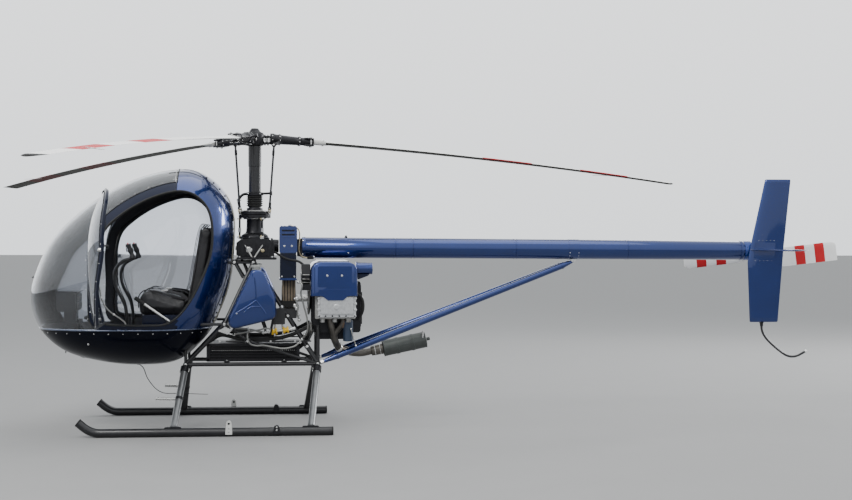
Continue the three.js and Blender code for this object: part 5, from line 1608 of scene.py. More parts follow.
def build_exhaust():
    along = unit(MUFFLER_END - MUFFLER_START)
    form = Form("exhaust_tubes")
    for side in (PORT, STARBOARD):
        down = spline([(560, side * 262, 812), (560, side * 262, 790), (572, side * 256, 740),
                       (600, side * 200, 640), (640, side * 130, 575), (780, side * 45, 535),
                       tuple(MUFFLER_START - along * 70), tuple(MUFFLER_START - along * 0.5)], step=12)
        form.add(tube(down, 25.0, 22), EXHAUST)
        profile = [(0, 36), (8, 36), (10, 27)]
        form.add(lathe(down[0] + (0, 0, 3), down[0] - (0, 0, 20), profile, 24), EXHAUST)
        course = [(655, side * 270, 812), (652, side * 266, 780), (622, side * 250, 735),
                  (588, side * 236, 692)]
        form.add(tube(spline(course, step=9), 22.0, 20), EXHAUST)
        profile = [(0, 34), (8, 34), (10, 24)]
        form.add(lathe((655, side * 270, 815), (655, side * 270, 790), profile, 24), EXHAUST)
        middle = down[int(len(down) * 0.42)]
        way = unit(down[int(len(down) * 0.44)] - middle)
        form.add(collar(middle, way, 26, 30, 20, 24), MACHINED)
    neck = MUFFLER_START - along * 62
    form.add(lathe(neck - along * 30, neck, [(0, 30), (4, 36), (40, 38), (90, 40), (91, 30)], 28), EXHAUST)
    for reach in (0, 40):
        form.add(hoop(neck + along * reach, along, 38, 3.0, 28, 8), MACHINED)
    form.done(replaces="exhaust_pipes", slot="exhaust_steel")
    can = Form("silencer")
    length = np.linalg.norm(MUFFLER_END - MUFFLER_START)
    r = MUFFLER_R
    profile = [(0, 34), (1, r - 8), (3, r - 2), (7, r + 1), (11, r - 1.5), (14, r - 1.5),
               (length - 14, r - 1.5), (length - 11, r - 1.5), (length - 7, r + 1), (length - 3, r - 2),
               (length - 1, r - 8), (length, 30)]
    can.add(lathe(MUFFLER_START, MUFFLER_END, profile, 48), MUFFLER_SKIN)
    for share in (0.33, 0.68):
        spot = MUFFLER_START + along * length * share
        can.add(collar(spot, along, r - 1, r + 1.2, 22, 48, 0.5), MUFFLER_SKIN)
    seam = [MUFFLER_START + along * reach + (0, -r + 1.5, 0) for reach in np.linspace(16, length - 16, 24)]
    can.add(tube(seam, 2.2, 6), MUFFLER_SKIN)
    tail = MUFFLER_END
    can.add(lathe(tail - along * 4, tail, [(0, 13), (30, 13), (32, 12)], 22), MUFFLER_SKIN)
    # Near-black disc in the tail pipe's end: painted shade
    can.add(lathe(tail + along * 27.2, tail + along * 29, [(0, 11), (1.5, 11)], 22), SHADE_FILL_OPENINGS)
    can.add(lathe(MUFFLER_END + (-30, -50, 10), MUFFLER_END + (-30, -50, 30), [(0, 7), (60, 7)], 12),
            MACHINED)
    can.done(replaces="muffler", slot="exhaust_steel")


def build_radiator():
    form = Form("cooler_core")
    # Near-black plate behind the fins: painted shade in the depths of the core
    form.add(plate(-342, 327, -192, 192, 500, 618, 4), SHADE_FILL_OPENINGS)
    for x in np.linspace(-336, 321, 74):
        form.add(block(x - 1.6, x + 1.6, -197, 197, 512, 606), BLACK_ALLOY)
    for z in (496, 611):
        form.add(plate(-350, 335, -200, 200, z - 4, z + 15, 4), BLACK_ALLOY)
    for z in np.linspace(530, 590, 4):
        form.add(prism(rect(-346, 331, z - 2, z + 2), -198, 198), BLACK_ALLOY)
    # Tank clips, side caps and hangers
    for side in (PORT, STARBOARD):
        for x in np.arange(-308, 300, 14.0):
            form.add(rivet((x, side * 198, 574), (0, side, 0), 2.8), LUG_PAINT)
        for x in (-340, 325):
            form.add(plate(x - 10, x + 10, side * 150, side * 200, 496, 622, 4), BLACK_ALLOY)
        for x in (-200, 220):
            form.add(plate(x - 20, x + 20, side * 195, side * 221, 471, 499, 5), BLACK_ALLOY)
            form.add(bolt((x, side * 208, 499), (0, 0, 1), 6.0), MACHINED)
    # Two fan shrouds
    form.add(lathe((-60, 0, 624), (-60, 0, 640), [(0, 128), (4, 132), (12, 132), (16, 126)], 48), PLASTIC)
    form.add(lathe((170, 0, 624), (170, 0, 636), [(0, 90), (4, 94), (9, 94), (12, 88)], 40), PLASTIC)
    form.done(replaces="radiator", slot="black_alloy")


# Lines, fittings and brackets between the frame and the engine; each line is a path and its radius
BRAIDED_LINES = [
    ([(-41, -300, 740), (-50, -318, 690), (-30, -318, 632), (20, -312, 616), (66, -305, 618),
      (150, -300, 602), (220, -300, 594), (300, -290, 612), (350, -270, 660), (372, -240, 690)], 7.0),
    ([(321, -330, 1083), (350, -345, 1066), (340, -345, 1001), (360, -340, 919), (386, -330, 816),
      (392, -320, 740), (374, -300, 690), (350, -280, 660)], 6.0),
    ([(-150, -318, 700), (-60, -330, 716), (40, -335, 734), (90, -330, 744), (140, -300, 730)], 6.0),
    ([(-215, -300, 735), (-100, -290, 742), (0, -285, 728), (66, -290, 712)], 8.0),
    ([(709, -300, 735), (722, -302, 690), (746, -300, 612)], 4.0),
    ([(300, -250, 956), (322, -262, 900), (315, -265, 850), (330, -255, 800)], 6.0),
]
COOLANT_RUN = [
    (-330, 180, 640), (-240, 230, 690), (-120, 260, 668), (20, 262, 660), (180, 250, 668), (300, 230, 700),
    (420, 210, 760),
]
RUBBER_LINES = [([(x, side * y, z) for x, y, z in COOLANT_RUN], 14.0) for side in (PORT, STARBOARD)] + [
    ([(330, -150, 590), (380, -190, 640), (400, -200, 700), (430, -190, 760)], 16.0),
    ([(150, -120, 1300), (240, -200, 1250), (330, -230, 1230), (380, -250, 1190)], 9.0),
    ([(-100, -150, 1260), (-60, -190, 1170), (-20, -210, 1000), (40, -240, 840), (90, -250, 700)], 8.0),
    ([(-110, 150, 1260), (-60, 190, 1170), (-20, 210, 1000), (40, 240, 840), (90, 250, 700)], 8.0),
    ([(740, -250, 1000), (790, -270, 960), (800, -262, 880), (770, -230, 800)], 12.0),
]


def build_plumbing():
    form = Form("engine_lines")
    for path, radius in BRAIDED_LINES:
        form.add(tube(spline(path, step=12), radius, 12), HOSE)
        for end in (path[0], path[-1]):
            form.add(ball(end, radius * 1.9, 12, 8), MACHINED)
    for path, radius in RUBBER_LINES:
        form.add(tube(spline(path, step=14), radius, 14), RUBBER)
    for x, z in ((148, 720), (233, 730)):
        spool = np.array([x, -300.0, z])
        way = np.array([1.0, 0, 0.12])
        profile = [(0, 10), (2, 24), (14, 26), (18, 17), (30, 17), (34, 26), (44, 24), (46, 10)]
        form.add(lathe(spool - way * 24, spool, profile, 26), YELLOW)
        form.add(bar(spool - way * 34, spool + way * 34, 8, sides=12), MACHINED)
    form.add(bar((183, -300, 724), (268, -300, 733), 9, sides=12), MACHINED)
    form.add(bar((262, -300, 733), (300, -292, 742), 14, sides=14), MACHINED)
    form.add(bar((66, -300, 712), (118, -300, 716), 10, sides=12), MACHINED)
    shelf = rounded(rect(-205, 420, 640, 650), 4)
    for side in (PORT, STARBOARD):
        form.add(prism(shelf, side * 232, side * 268), BLACK)
        form.add(bar((-45, side * 296, 652), (-45, side * 250, 648), 8, sides=12), BLACK)
        form.add(bar((400, side * 238, 650), (440, side * 228, 730), 8, sides=12), BLACK)
    form.add(plate(130, 226, -290, -210, 770, 888, 8), PLASTIC)
    form.add(plate(190, 312, -230, -96, 812, 880, 8), PLASTIC)
    form.add(plate(-140, -40, -250, -160, 655, 735, 8), PLASTIC)
    for x, z in ((313, 956), (313, 883), (325, 842), (300, 905)):
        form.add(lathe((x, -238, z), (x, -256, z), [(0, 14), (8, 14), (10, 9), (18, 9)], 14), MACHINED)
    form.add(bar((150, -250, 780), (150, -238, 650), 7, sides=12), MACHINED)
    form.add(bar((205, -250, 780), (215, -240, 652), 7, sides=12), MACHINED)
    form.add(bar((-90, -205, 660), (-90, -240, 652), 7, sides=12), MACHINED)
    for x in (-250, -60, 120, 300):
        form.add(bolt((x, -268, 645), (0, -1, 0), 6.0), MACHINED)
    form.done(bevel=0.8)


# Main rotor
def build_mast():
    form = Form("rotor_mast", "main_rotor")
    profile = [(0, 46), (3, 49), (250, 49), (252, 46), (560, 46), (562, 49), (715, 49), (717.5, 47)]
    form.add(lathe((0, 0, 1380), (0, 0, 2100), profile, 40), BLACK)
    folds = [(0, 52)]
    for k in range(5):
        folds += [(4 + k * 16, 52), (9 + k * 16, 61), (13 + k * 16, 61), (18 + k * 16, 52)]
    folds += [(86, 52), (88, 58)]
    form.add(lathe((0, 0, 1638), (0, 0, 1800), folds, 36), RUBBER)
    form.add(lathe((0, 0, 1723), (0, 0, 1760), [(0, 58), (2, 64), (23, 64), (25, 60)], 36), BLACK_ALLOY)
    for turn in (40, 130, 220, 310):
        form.add(bolt(polar(63, turn, 1736), polar(1, turn), 5.5), MACHINED)
    form.add(bar((55, 0, 1738), (132, 0, 1742), 9, sides=14), BLACK_ALLOY)
    form.add(lathe((112, 0, 1741), (136, 0, 1742), [(0, 14), (2, 17), (18, 17), (20, 14)], 20), BLACK_ALLOY)
    form.done(replaces="mast", slot="black_steel")


def fork_plate(stations, across, half_height, corner):
    """A flat plate with cut edges through stations, each a centre and a half width."""
    section = [(-1, -corner), (-0.9, -1), (0.9, -1), (1, -corner), (1, corner), (0.9, 1), (-0.9, 1),
               (-1, corner)]
    return loft([[centre + across * w * half + UP * t * half_height for w, t in section]
                 for centre, half in stations])


def build_hub():
    form = Form("head_block", "main_rotor")
    profile = [(0, 58), (4, 66), (20, 72), (80, 72), (88, 68), (98, 60)]
    form.add(lathe((0, 0, 2098), (0, 0, 2200), profile, 40), BLACK_ALLOY)
    profile = [(0, 50), (8, 50), (12, 42), (24, 36), (30, 30), (36, 28), (38, 24)]
    form.add(lathe((0, 0, 2190), (0, 0, 2230), profile, 36), BLACK_ALLOY)
    for turn in range(16):
        spot = polar(46, turn * 22.5, 2190)
        form.add(bar(spot, spot + (0, 0, 12), 4, sides=8), BLACK)
    for turn in BLADE_TURNS:
        across = polar(1, turn + 90)
        out = polar(1, turn)
        for level in (2118, 2166):
            stations = [(out * reach + UP * level, half)
                        for reach, half in ((20, 34), (60, 32), (96, 27), (111.5, 22))]
            form.add(fork_plate(stations, across, 8, 0.6), BLACK_ALLOY)
        for reach in (78, 100):
            spot = out * reach + (0, 0, 2176)
            form.add(bolt(spot, (0, 0, 1), 7.0), MACHINED)
            form.add(bolt(out * reach + (0, 0, 2108), (0, 0, -1), 7.0), MACHINED)
        form.add(bar(out * 92 + (0, 0, 2112), out * 92 + (0, 0, 2172), 12, sides=16), MACHINED)
        form.add(bar(out * 60 - across * 40 + (0, 0, 2142), out * 60 + across * 40 + (0, 0, 2142), 13,
                     sides=16), MACHINED)
    form.done(replaces="rotor_hub", slot="black_alloy", bevel=0.8)


def build_grip(number, turn):
    form = Form(f"grip_arm_{number}", "main_rotor")
    across = polar(1, turn + 90)
    root, tip = polar(115, turn, 2151), polar(446, turn, 2131)
    length = np.linalg.norm(tip - root)
    profile = [(0, 34), (2, 42), (26, 44), (32, 40), (60, 38), (66, 41), (78, 41), (84, 36), (210, 31),
               (216, 35), (232, 35), (238, 30), (290, 29), (length, 29)]
    form.add(lathe(root, tip, profile, 32), BLACK_ALLOY)
    way = unit(tip - root)
    for reach in (15, 72, 224):
        for degrees in range(10, 370, 45):
            angle = math.radians(degrees)
            away = math.cos(angle) * across + math.sin(angle) * UP
            form.add(bolt(root + way * reach + away * (34 if reach > 200 else 40), away, 4.2), MACHINED)
    for level in (-1, 1):
        stations = [(root + way * reach + UP * level * 24, half)
                    for reach, half in ((262, 26), (285, 38), (318, 42), (length, 42))]
        form.add(fork_plate(stations, across, 6.5, 0.5), BLACK_ALLOY)
        for w in (-24, 24):
            spot = root + way * 312 + across * w + (0, 0, level * 30)
            form.add(bolt(spot, (0, 0, level), 9.0), MACHINED)
        form.add(bolt(root + way * 288 + (0, 0, level * 30), (0, 0, level), 6.0), LUG_PAINT)
    for w in (-24, 24):
        spot = root + way * 312 + across * w
        form.add(bar(spot - (0, 0, 26), spot + (0, 0, 26), 7, sides=12), MACHINED)
    # Pitch horn and the link down to the swashplate
    horn = polar(165, turn - HORN_LAG, 2100)
    start = polar(190, turn, 2145)
    bend = (start + horn) / 2 + polar(18, turn - HORN_LAG / 2)
    arm = spline([start, start * 0.6 + bend * 0.4 - UP * 6, bend * 0.5 + horn * 0.5, horn], step=8)
    form.add(tube(arm, np.linspace(15, 10, len(arm)), 14), BLACK_ALLOY)
    rod_end(form, horn, polar(1, turn - HORN_LAG + 90), 13, BLACK_ALLOY)
    low = polar(129, turn - HORN_LAG, 1622)
    form.add(bar(low + (0, 0, 14), horn - (0, 0, 12), 8, sides=14), BLACK)
    link = unit(horn - low)
    for reach in (8, 400):
        form.add(lathe(low + link * reach, horn, [(0, 9), (2, 11.5), (38, 11.5), (40, 9)], 6), BLACK_ALLOY)
    rod_end(form, low + (0, 0, 4), polar(1, turn - HORN_LAG + 90), 11, BLACK_ALLOY)
    # Balance weight on its arm
    weight = root + way * 100 + across * 40
    form.add(bar(weight, weight + across * 44 + (0, 0, 14), 7, sides=12), BLACK_ALLOY)
    form.add(bar(weight + across * 40 + (0, 0, 12), weight + across * 62 + (0, 0, 18), 14, sides=18),
             BLACK_ALLOY)
    form.done(replaces=f"grip_{number}", slot="black_alloy", bevel=0.6)


# Symmetric section: lead towards the nose and height, both as shares
SECTION = [(-0.73, 0.06), (-0.6, 0.24), (-0.45, 0.44), (-0.3, 0.63), (-0.15, 0.8), (-0.02, 0.94),
           (0.08, 1.0), (0.16, 0.92), (0.22, 0.7), (0.25, 0.45), (0.263, 0.2)]
BLADE_START, BLADE_END, TIP_CAP = 449.0, 3420, 3398
BAND_EDGES = (1790, 2200, 2610, 3020)


def blade_rise(reach):
    out = reach - 446.0
    return 2131.0 - 0.0582 * out - 0.00001222 * out * out


def blade_ring(base, lead, up, chord, thick, pitch, nose_cut=1.0):
    """One blade section, turned by its pitch about the blade's own line."""
    upper = [(a * chord * (nose_cut if a > 0 else 1), h * thick / 2) for a, h in SECTION]
    ring = upper + [(a, -h) for a, h in reversed(upper)]
    return [base + lead * (a * math.cos(pitch) - t * math.sin(pitch))
            + up * (a * math.sin(pitch) + t * math.cos(pitch)) for a, t in ring]


def build_blade(number, turn):
    form = Form(f"blade_skin_{number}", "main_rotor")
    out, lead, up = polar(1, turn), -polar(1, turn + 90), UP
    stations = [BLADE_START, 470, 500, 540, 580, 620, 660]
    stations += list(np.arange(760, 1790, 100.0)) + [1790.0]
    for low, high in zip(BAND_EDGES, (*BAND_EDGES[1:], TIP_CAP)):
        stations += list(np.linspace(low, high, 5)[1:])
    stations += [3412.0, 3419.0]
    rings = []
    for reach in stations:
        grow = smooth(reach, 500, 640)
        chord = 84 + (156 - 84) * smooth(reach, BLADE_START, 640)
        thick = 40 + (18 - 40) * grow
        pitch = math.radians(np.interp(reach, [BLADE_START, 640, 1300, 2000, 2700, BLADE_END],
                                       [3, 3, 2, 1, 0, -1]))
        if reach > 3410:
            shrink = 0.9 if reach < 3415 else 0.55
            thick *= shrink
        base = out * reach + up * blade_rise(reach)
        rings.append(blade_ring(base, lead, up, chord, thick, pitch))
    places, faces = loft(rings)
    count = len(rings[0])
    half = len(SECTION)
    groups = {}
    for k in range(len(stations) - 1):
        reach = (stations[k] + stations[k + 1]) / 2
        red = BAND_EDGES[0] < reach < BAND_EDGES[1] or BAND_EDGES[2] < reach < BAND_EDGES[3]
        for i in range(count):
            over = i < half - 1 or i == count - 1
            # Faces on the underside take the darker copies: painted shade
            paint = (RED if red else WHITE) if over else (UNDERSIDE_RED_SHADED if red else UNDERSIDE_WHITE_SHADED)
            if reach > TIP_CAP:
                paint = DARK_TIP
            if reach < 560:
                paint = BLADE_ROOT
            groups.setdefault(paint.name, (paint, []))[1].append(faces[k * count + i])
    groups.setdefault(BLADE_ROOT.name, (BLADE_ROOT, []))[1].append(faces[-2])
    groups.setdefault(DARK_TIP.name, (DARK_TIP, []))[1].append(faces[-1])
    for paint, chosen in groups.values():
        form.add((places, chosen), paint)
    # Root bolts and the trim tab
    for w in (-24, 24):
        for level in (-1, 1):
            form.add(bolt(out * 520 - lead * w * 0.8 + up * (blade_rise(520) + level * 18), up * level,
                          5.0), MACHINED)
    tab = out * 2900 + up * blade_rise(2900) - lead * 113
    form.add((np.array([tab + out * a - lead * b + up * c for a in (-120, 120)
                        for b in (0, 24) for c in (-1, 1)]), block(0, 1, 0, 1, 0, 1)[1]), MACHINED)
    form.done(replaces=f"blade_{number}", slot="blade_white", weld=0.02, sharp=50)


# Tail
BOOM_FRONT, BOOM_REAR = np.array([352.0, 0, 1333]), np.array([3830.0, 0, 1314])
FRONT_R, REAR_R = 79.0, 74.0


def boom_place(x):
    share = (x - BOOM_FRONT[0]) / (BOOM_REAR[0] - BOOM_FRONT[0])
    return BOOM_FRONT + (BOOM_REAR - BOOM_FRONT) * share, FRONT_R + (REAR_R - FRONT_R) * share


def build_boom():
    form = Form("boom_tube")
    length = np.linalg.norm(BOOM_REAR - BOOM_FRONT)
    seams = [1060.0, 1193.0, 1980.0, 2850.0]
    profile = [(0, FRONT_R - 10), (0.5, FRONT_R - 1), (2, FRONT_R)]
    for x in seams:
        reach, radius = x - BOOM_FRONT[0], boom_place(x)[1]
        profile += [(reach - 3, radius), (reach - 1.5, radius - 2.2), (reach + 1.5, radius - 2.2),
                    (reach + 3, radius)]
    profile += [(length - 2, REAR_R), (length - 0.5, REAR_R - 1), (length, REAR_R - 8)]
    form.add(lathe(BOOM_FRONT, BOOM_REAR, profile, 64), BLUE)
    for x, wide in ((368, 14), (3800, 26)):
        place, radius = boom_place(x)
        band = collar(place, AHEAD_X, radius, radius + 2.2, 2 * wide, 64, 1.5)
        form.add(band, BLUE_BRIGHT if x > 3000 else BLUE)
    place, radius = boom_place(3752)
    form.add(collar(place, AHEAD_X, radius, radius + 2.5, 18, 64), BLUE)
    for x in (1049, 1071, 1182, 1204, 1969, 1991, 2839, 2861, 374, 3788, 3812):
        place, radius = boom_place(x)
        for turn in np.arange(0, 360, 20):
            away = around_x(turn)
            form.add(rivet(place + away * (radius + (2 if x in (374, 3788, 3812) else 0)), away, 3.2), BLUE)
    # Front flange, aerial foot, drain and the strut lug with its strap
    flange = [(317.5, 1270), (356, 1262), (356, 1404), (317.5, 1396)]
    form.add(prism(rounded(flange, 4), -75, 75), BLACK_ALLOY)
    for y in (-66, 66):
        for z in (1283, 1384):
            form.add(bolt((356, y, z), (1, 0, 0), 7.0), MACHINED)
    place, radius = boom_place(687)
    profile = [(0, 13), (5, 13), (7, 8), (16, 8), (18, 5)]
    form.add(lathe(place + (0, 0, radius - 3), place + (0, 0, 200), profile, 18), BLACK_ALLOY)
    place, radius = boom_place(702)
    form.add(rivet(place + (0, -radius * 0.86, -radius * 0.5), (0, -0.86, -0.5), 6.0), MACHINED)
    lug = rounded([(2405, 1262), (2455, 1262), (2452, 1222), (2430, 1213), (2408, 1222)], 8)
    form.add(prism(lug, -17.5, 17.5), MACHINED)
    place, radius = boom_place(2430)
    form.add(collar(place, AHEAD_X, radius, radius + 2, 84, 64), BLUE)
    for x in (2396, 2464):
        for turn in np.arange(200, 341, 20):
            away = around_x(turn)
            form.add(rivet(boom_place(x)[0] + away * (radius + 2), away, 3.6), MACHINED)
    form.done(replaces="tail_boom", slot="blue_alloy")
    cable = Form("boom_lead")
    route = spline([(262, -120, 1500), (326, -130, 1470), (334, -120, 1390), (330, -112, 1310),
                    (352, -96, 1268), (400, -84, 1256), (440, -82, 1262)], step=12)
    cable.add(tube(route, 5.0, 10), BRASS)
    for place in (route[0], route[-1]):
        cable.add(ball(place, 10, 12, 8), MACHINED)
    cable.add(plate(392, 440, -96, -70, 1246, 1268, 4), BLACK_ALLOY)
    cable.done()
    for name, side in SIDES:
        strut = Form(f"strut_tube_{name}")
        foot = joint("rear", side)
        head = np.array([2430.0, side * 28.8, 1231])
        span, way = np.linalg.norm(head - foot), unit(head - foot)
        profile = [(19, 6), (22, 12), (60, 15), (150, 23), (165, 24), (span - 100, 24), (span - 60, 18),
                   (span - 22, 12), (span - 2, 9), (span - 0.5, 8)]
        strut.add(lathe(foot, head, profile, 32), BLUE)
        for reach in (150, span - 105):
            strut.add(collar(foot + way * (reach + 7), way, 24, 26, 14, 32), BLUE)
        strut.add(lathe(foot + way * 21, head, [(0, 13), (3, 16), (26, 16), (30, 12)], 6), MACHINED)
        strut.add(bolt(head + (-8, side * 8, 0), (0, side, 0), 8.0), MACHINED)
        strut.done(replaces=f"boom_strut_{name}", slot="blue_alloy")


FIN_HALF = 15.0
FIN_Y = -REAR_R - 0.5 - FIN_HALF
PLATE_Z, PLATE_HALF = 1319, 7.0
FIN_SHAPE = [(0.0, 0.0), (0.015, 0.42), (0.05, 0.72), (0.13, 0.95), (0.28, 1.0), (0.5, 0.86), (0.75, 0.52),
             (0.93, 0.22), (1.0, 0.1)]


def fin_edges(z):
    lead = np.interp(z, [762, 1226, 1388, 1865], [3802, 3784, 3815, 3920])
    trail = np.interp(z, [762, 1335, 1865], [4024, 4069, 4123])
    return lead, trail


def fin_height(share):
    """How thick the fin is at a share of its chord, against its thickest place."""
    return np.interp(share, *zip(*FIN_SHAPE))


def build_fin():
    form = Form("fin_skin")
    loop = FIN_SHAPE + [(s, -h) for s, h in reversed(FIN_SHAPE[1:])]
    rings = []
    ends = {762: 7, 764: 3, 770: 0, 1857: 0, 1863: 3, 1865: 7}
    runs = ((800, 1226, 8), (1270, 1388, 4), (1440, 1840, 9))
    between = [z for low, high, count in runs for z in np.linspace(low, high, count)]
    for z in sorted([*ends, *between]):
        lead, trail = fin_edges(z)
        pull = ends.get(z, 0)
        lead, trail = lead + pull, trail - pull
        thick = FIN_HALF * (1 - pull / 18)
        rings.append([(lead + s * (trail - lead), FIN_Y + h * thick, z) for s, h in loop])
    form.add(loft(rings), BLUE)
    # Shares of the chord, heights, radius and finish of each set of rivets
    rows = [((0.3,), np.arange(790, 1845, 46.0), 3.0, BLUE),
            ((0.78,), np.arange(790, 1845, 60.0), 3.0, BLUE),
            ((0.2, 0.32, 0.44, 0.56, 0.68), (1236, 1262, 1366, 1392), 2.6, MACHINED),
            (np.linspace(0.08, 0.92, 8), (786, 1842), 3.0, BLUE)]
    for side in (PORT, STARBOARD):
        for shares, levels, size, paint in rows:
            for z in levels:
                lead, trail = fin_edges(z)
                for share in shares:
                    place = (lead + share * (trail - lead), FIN_Y + side * fin_height(share) * FIN_HALF, z)
                    form.add(rivet(place, (0, side, 0), size), paint)
    pad = rounded([(3830, 1252), (3990, 1252), (4000, 1376), (3840, 1376)], 14)
    form.add(prism(pad, FIN_Y - 17.0, FIN_Y - 8.0), BLUE)
    form.done(replaces="fin", slot="blue_shell")
    tailplane = Form("stabiliser_skin")
    rings = []
    for y, lead, trail in ((FIN_Y - 15.4, 3800, 4080), (-180, 3840, 4091), (-300, 3900, 4111),
                           (-455, 3981, 4137), (-466, 3992, 4136), (-470, 4004, 4128)):
        shrink = {-466: 0.8, -470: 0.4}.get(y, 1.0)
        rings.append([(lead + s * (trail - lead), y, PLATE_Z + h * PLATE_HALF * shrink) for s, h in loop])
    tailplane.add(loft(rings), BLUE)
    for share in (0.2, 0.8):
        for y in np.linspace(-130, -440, 12):
            lead = np.interp(-y, [105, 470], [3800, 3990])
            trail = np.interp(-y, [105, 470], [4080, 4140])
            for way in (-1, 1):
                place = (lead + share * (trail - lead), y, PLATE_Z + way * fin_height(share) * PLATE_HALF)
                tailplane.add(rivet(place, (0, 0, way), 2.6), BLUE)
    tailplane.done(replaces="stabiliser", slot="blue_shell")
    skid = Form("tail_bumper")
    y = FIN_Y
    path = spline([(3896, y, 760), (3900, y, 700), (3935, y, 635), (4080, y, 512), (4130, y, 494),
                   (4180, y, 499), (4252, y, 536)], step=11)
    skid.add(tube(path, 9.0, 16), BLACK)
    profile = [(0, 17), (6, 17), (8, 13), (30, 12), (33, 9)]
    skid.add(lathe((3896, y, 761), (3898, y, 700), profile, 20), BLACK_ALLOY)
    way = unit(path[-1] - path[-2])
    profile = [(0, 9.6), (2, 10.4), (12, 10.4), (16, 8), (18, 4)]
    skid.add(lathe(path[-1] - way * 10, path[-1], profile, 16), WHITE)
    skid.done(replaces="tail_skid", slot="black_steel")


TAIL_HUB = np.array([3997.0, 250.0, 1275.0])
TAIL_TILT = math.radians(6.6)
TAIL_OUT = np.array([math.cos(TAIL_TILT), 0, math.sin(TAIL_TILT)])
TAIL_LEAD = np.array([-math.sin(TAIL_TILT), 0, math.cos(TAIL_TILT)])


def build_tail_gearbox():
    form = Form("tail_gear_case")
    x, z = TAIL_HUB[0], TAIL_HUB[2]
    outline = [(3862, 1232), (4040, 1240), (4044, 1318), (4010, 1333), (3862, 1330)]
    form.add(prism(rounded(outline, 18), -73, 54), BLACK_ALLOY)
    profile = [(0, 70), (6, 70), (9, 54), (40, 50), (60, 52)]
    form.add(lathe(BOOM_REAR + (0.6, 0, 0), (3890, 0, 1300), profile, 36), BLACK_ALLOY)
    for turn in range(8):
        form.add(bolt(BOOM_REAR + (6, 0, 0) + 62 * around_x(turn * 45 + 20), AHEAD_X, 5.0), MACHINED)
    rings = []
    angles = np.linspace(0, 2 * math.pi, 36, endpoint=False)
    circle = np.stack([np.cos(angles), np.zeros(36), np.sin(angles)], axis=1)
    for radius, reach in ((15.4, 152), (15.4, 189.5), (24, 189.5), (26, 187), (28, 100), (36, 70), (50, 58),
                          (52, 46), (15.4, 46)):
        rings.append(np.array([x, reach, z]) + circle * radius)
    form.add((np.concatenate(rings), rings_to_faces(len(rings), 36, closed=True)), BLACK_ALLOY)
    for turn in range(6):
        angle = math.radians(turn * 60)
        form.add(bolt((x + 44 * math.cos(angle), 58, z + 44 * math.sin(angle)), (0, 1, 0), 5.0), MACHINED)
    # Filler plug and pitch rod
    profile = [(0, 16), (6, 16), (8, 11), (16, 11)]
    form.add(lathe((3950, -10, 1332), (3950, -10, 1360), profile, 20), MACHINED)
    form.add(bar((3930, 48, 1250), (3960, 175, 1262), 6, sides=12), MACHINED)
    form.done(replaces="tail_gearbox", slot="black_alloy", bevel=1.0)


def build_tail_rotor():
    form = Form("tail_head", "tail_rotor")
    x, y, z = TAIL_HUB
    form.add(lathe((x, y - 94.5, z), (x, y, z), [(0, 11), (1.5, 12), (112, 12), (114.5, 10)], 24), MACHINED)
    profile = [(0, 30), (3, 34), (18, 34), (24, 28), (36, 28), (42, 34), (57, 34), (60, 30)]
    form.add(lathe((x, y - 30, z), (x, y, z), profile, 32), BLACK_ALLOY)
    for side in (PORT, STARBOARD):
        end = TAIL_HUB + TAIL_OUT * side * 95
        profile = [(10, 18), (40, 20), (60, 24), (80, 24), (90, 20), (94.7, 18)]
        form.add(lathe(TAIL_HUB, end, profile, 26), BLACK_ALLOY)
        # Pitch links of the two blades
        link = TAIL_HUB + TAIL_OUT * side * 60 + TAIL_LEAD * side * 30
        form.add(bar(link - (0, 34, 0), link + (0, 4, 0), 5, sides=12), MACHINED)
        form.add(bar(link, TAIL_HUB + TAIL_OUT * side * 70, 7, sides=12), BLACK_ALLOY)
        form.add(ball(link - (0, 34, 0), 8, 12, 8), MACHINED)
        form.add(bar(link - (0, 34, 0), TAIL_HUB - (0, 52, 0), 5, sides=12), MACHINED)
    form.add(lathe((x, y - 62, z), (x, y, z), [(0, 22), (2, 26), (14, 26), (16, 22)], 28), CAST)
    form.done(replaces="tail_rotor_hub", slot="black_alloy")
    for number, side in ((1, PORT), (2, STARBOARD)):
        build_tail_blade(number, side, TAIL_OUT * side)


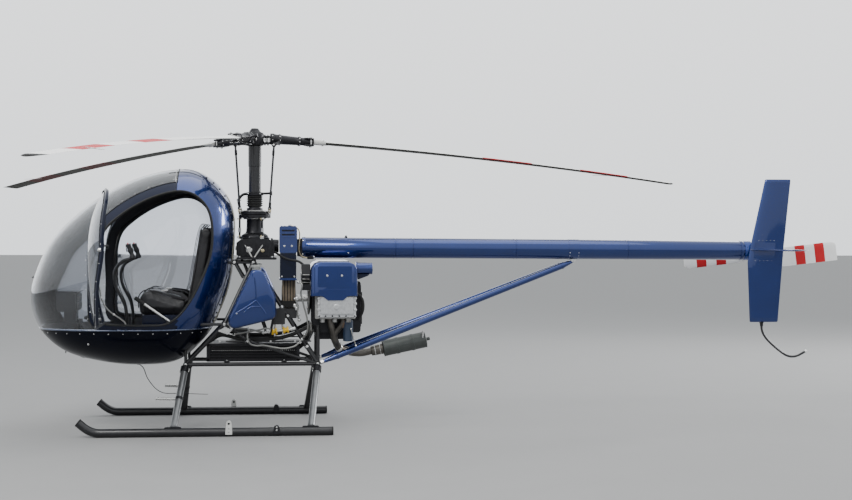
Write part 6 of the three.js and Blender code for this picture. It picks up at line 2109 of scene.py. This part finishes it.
def build_tail_blade(number, side, out):
    form = Form(f"tail_blade_skin_{number}", "tail_rotor")
    lead = TAIL_LEAD * side
    up = np.array([0, 1.0, 0])
    tip = 624.0
    marks = [tip - 100, tip - 180, tip - 260, tip - 340]
    ends = [95.6, 102, 120, 145, 170, 220, tip - 60, tip - 36, tip - 22, tip - 11, tip - 4, tip]
    stations = sorted(ends + marks)
    rings = []
    for reach in stations:
        chord = 60 + (153 - 60) * smooth(reach, 96, 172)
        thick = 34 + (17 - 34) * smooth(reach, 100, 180)
        late = max(0.0, (reach - (tip - 40)) / 40)
        nose_cut = 1 - 0.55 * late ** 3
        thick *= 1 - 0.5 * late ** 4
        pitch = math.radians(np.interp(reach, [95, 600], [6, 4]))
        base = TAIL_HUB + out * reach
        rings.append(blade_ring(base, lead, up, chord, thick, pitch, nose_cut))
    places, faces = loft(rings)
    count = len(rings[0])
    groups = {}
    for k in range(len(stations) - 1):
        reach = (stations[k] + stations[k + 1]) / 2
        red = marks[1] < reach < marks[0] or marks[3] < reach < marks[2]
        paint = RED if red else (BLADE_ROOT if reach < 110 else WHITE)
        groups.setdefault(paint.name, (paint, []))[1].extend(faces[k * count:(k + 1) * count])
    groups[BLADE_ROOT.name][1].append(faces[-2])
    groups[WHITE.name][1].append(faces[-1])
    for paint, chosen in groups.values():
        form.add((places, chosen), paint)
    # Root bolts
    for reach in (120, 140):
        for way in (-1, 1):
            form.add(bolt(TAIL_HUB + out * reach + up * way * 14, up * way, 4.5), MACHINED)
    form.done(replaces=f"tail_blade_{number}", slot="blade_white", weld=0.02, sharp=50)


# Aerials and small fittings under the nose
def build_aerials():
    form = Form("aerials")
    whip = spline([(-861, 0, 463), (-828, 0, 435), (-794, 0, 353), (-727, 0, 270), (-673, 0, 243),
                   (-578, 0, 239), (-470, 0, 235), (-347, 0, 230)], step=10)
    form.add(tube(whip, np.linspace(3.4, 1.8, len(whip)), 8), BLACK_ALLOY)
    # Whip foot, stub aerial, drain and nose probe
    form.add(lathe((-866, 0, 474), (-858, 0, 452), [(0, 24), (5, 24), (9, 14), (18, 9)], 20), BLACK_ALLOY)
    form.add(lathe((-1393, 0, 576), (-1396, 0, 540), [(0, 14), (4, 14), (6, 5), (30, 3)], 14), BLACK_ALLOY)
    profile = [(0, 34), (6, 34), (12, 28), (16, 16)]
    form.add(lathe((-1262, 0, 528), (-1266, 0, 506), profile, 26), BLACK_ALLOY)
    form.add(bar((-1607, 0, 1118), (-1640, 0, 1108), 5, sides=12), BLACK_ALLOY)
    form.done()


make_camera()
make_world()
for light in LIGHTS:
    area_light(*light)
make_floor()
build_shell()
build_shell_trim()
build_canopy()
build_tub()
build_door("left", PORT, 92.0)
build_door("right", STARBOARD, 0.0)
build_console()
build_bench()
build_seats()
build_controls()
build_frame()
build_tanks()
build_gear()
build_gearbox()
build_swashplates()
build_belt_drive()
build_engine()
build_exhaust()
build_radiator()
build_plumbing()
build_mast()
build_hub()
for count, degrees in enumerate(BLADE_TURNS, 1):
    build_grip(count, degrees)
    build_blade(count, degrees)
build_boom()
build_fin()
build_tail_gearbox()
build_tail_rotor()
build_aerials()
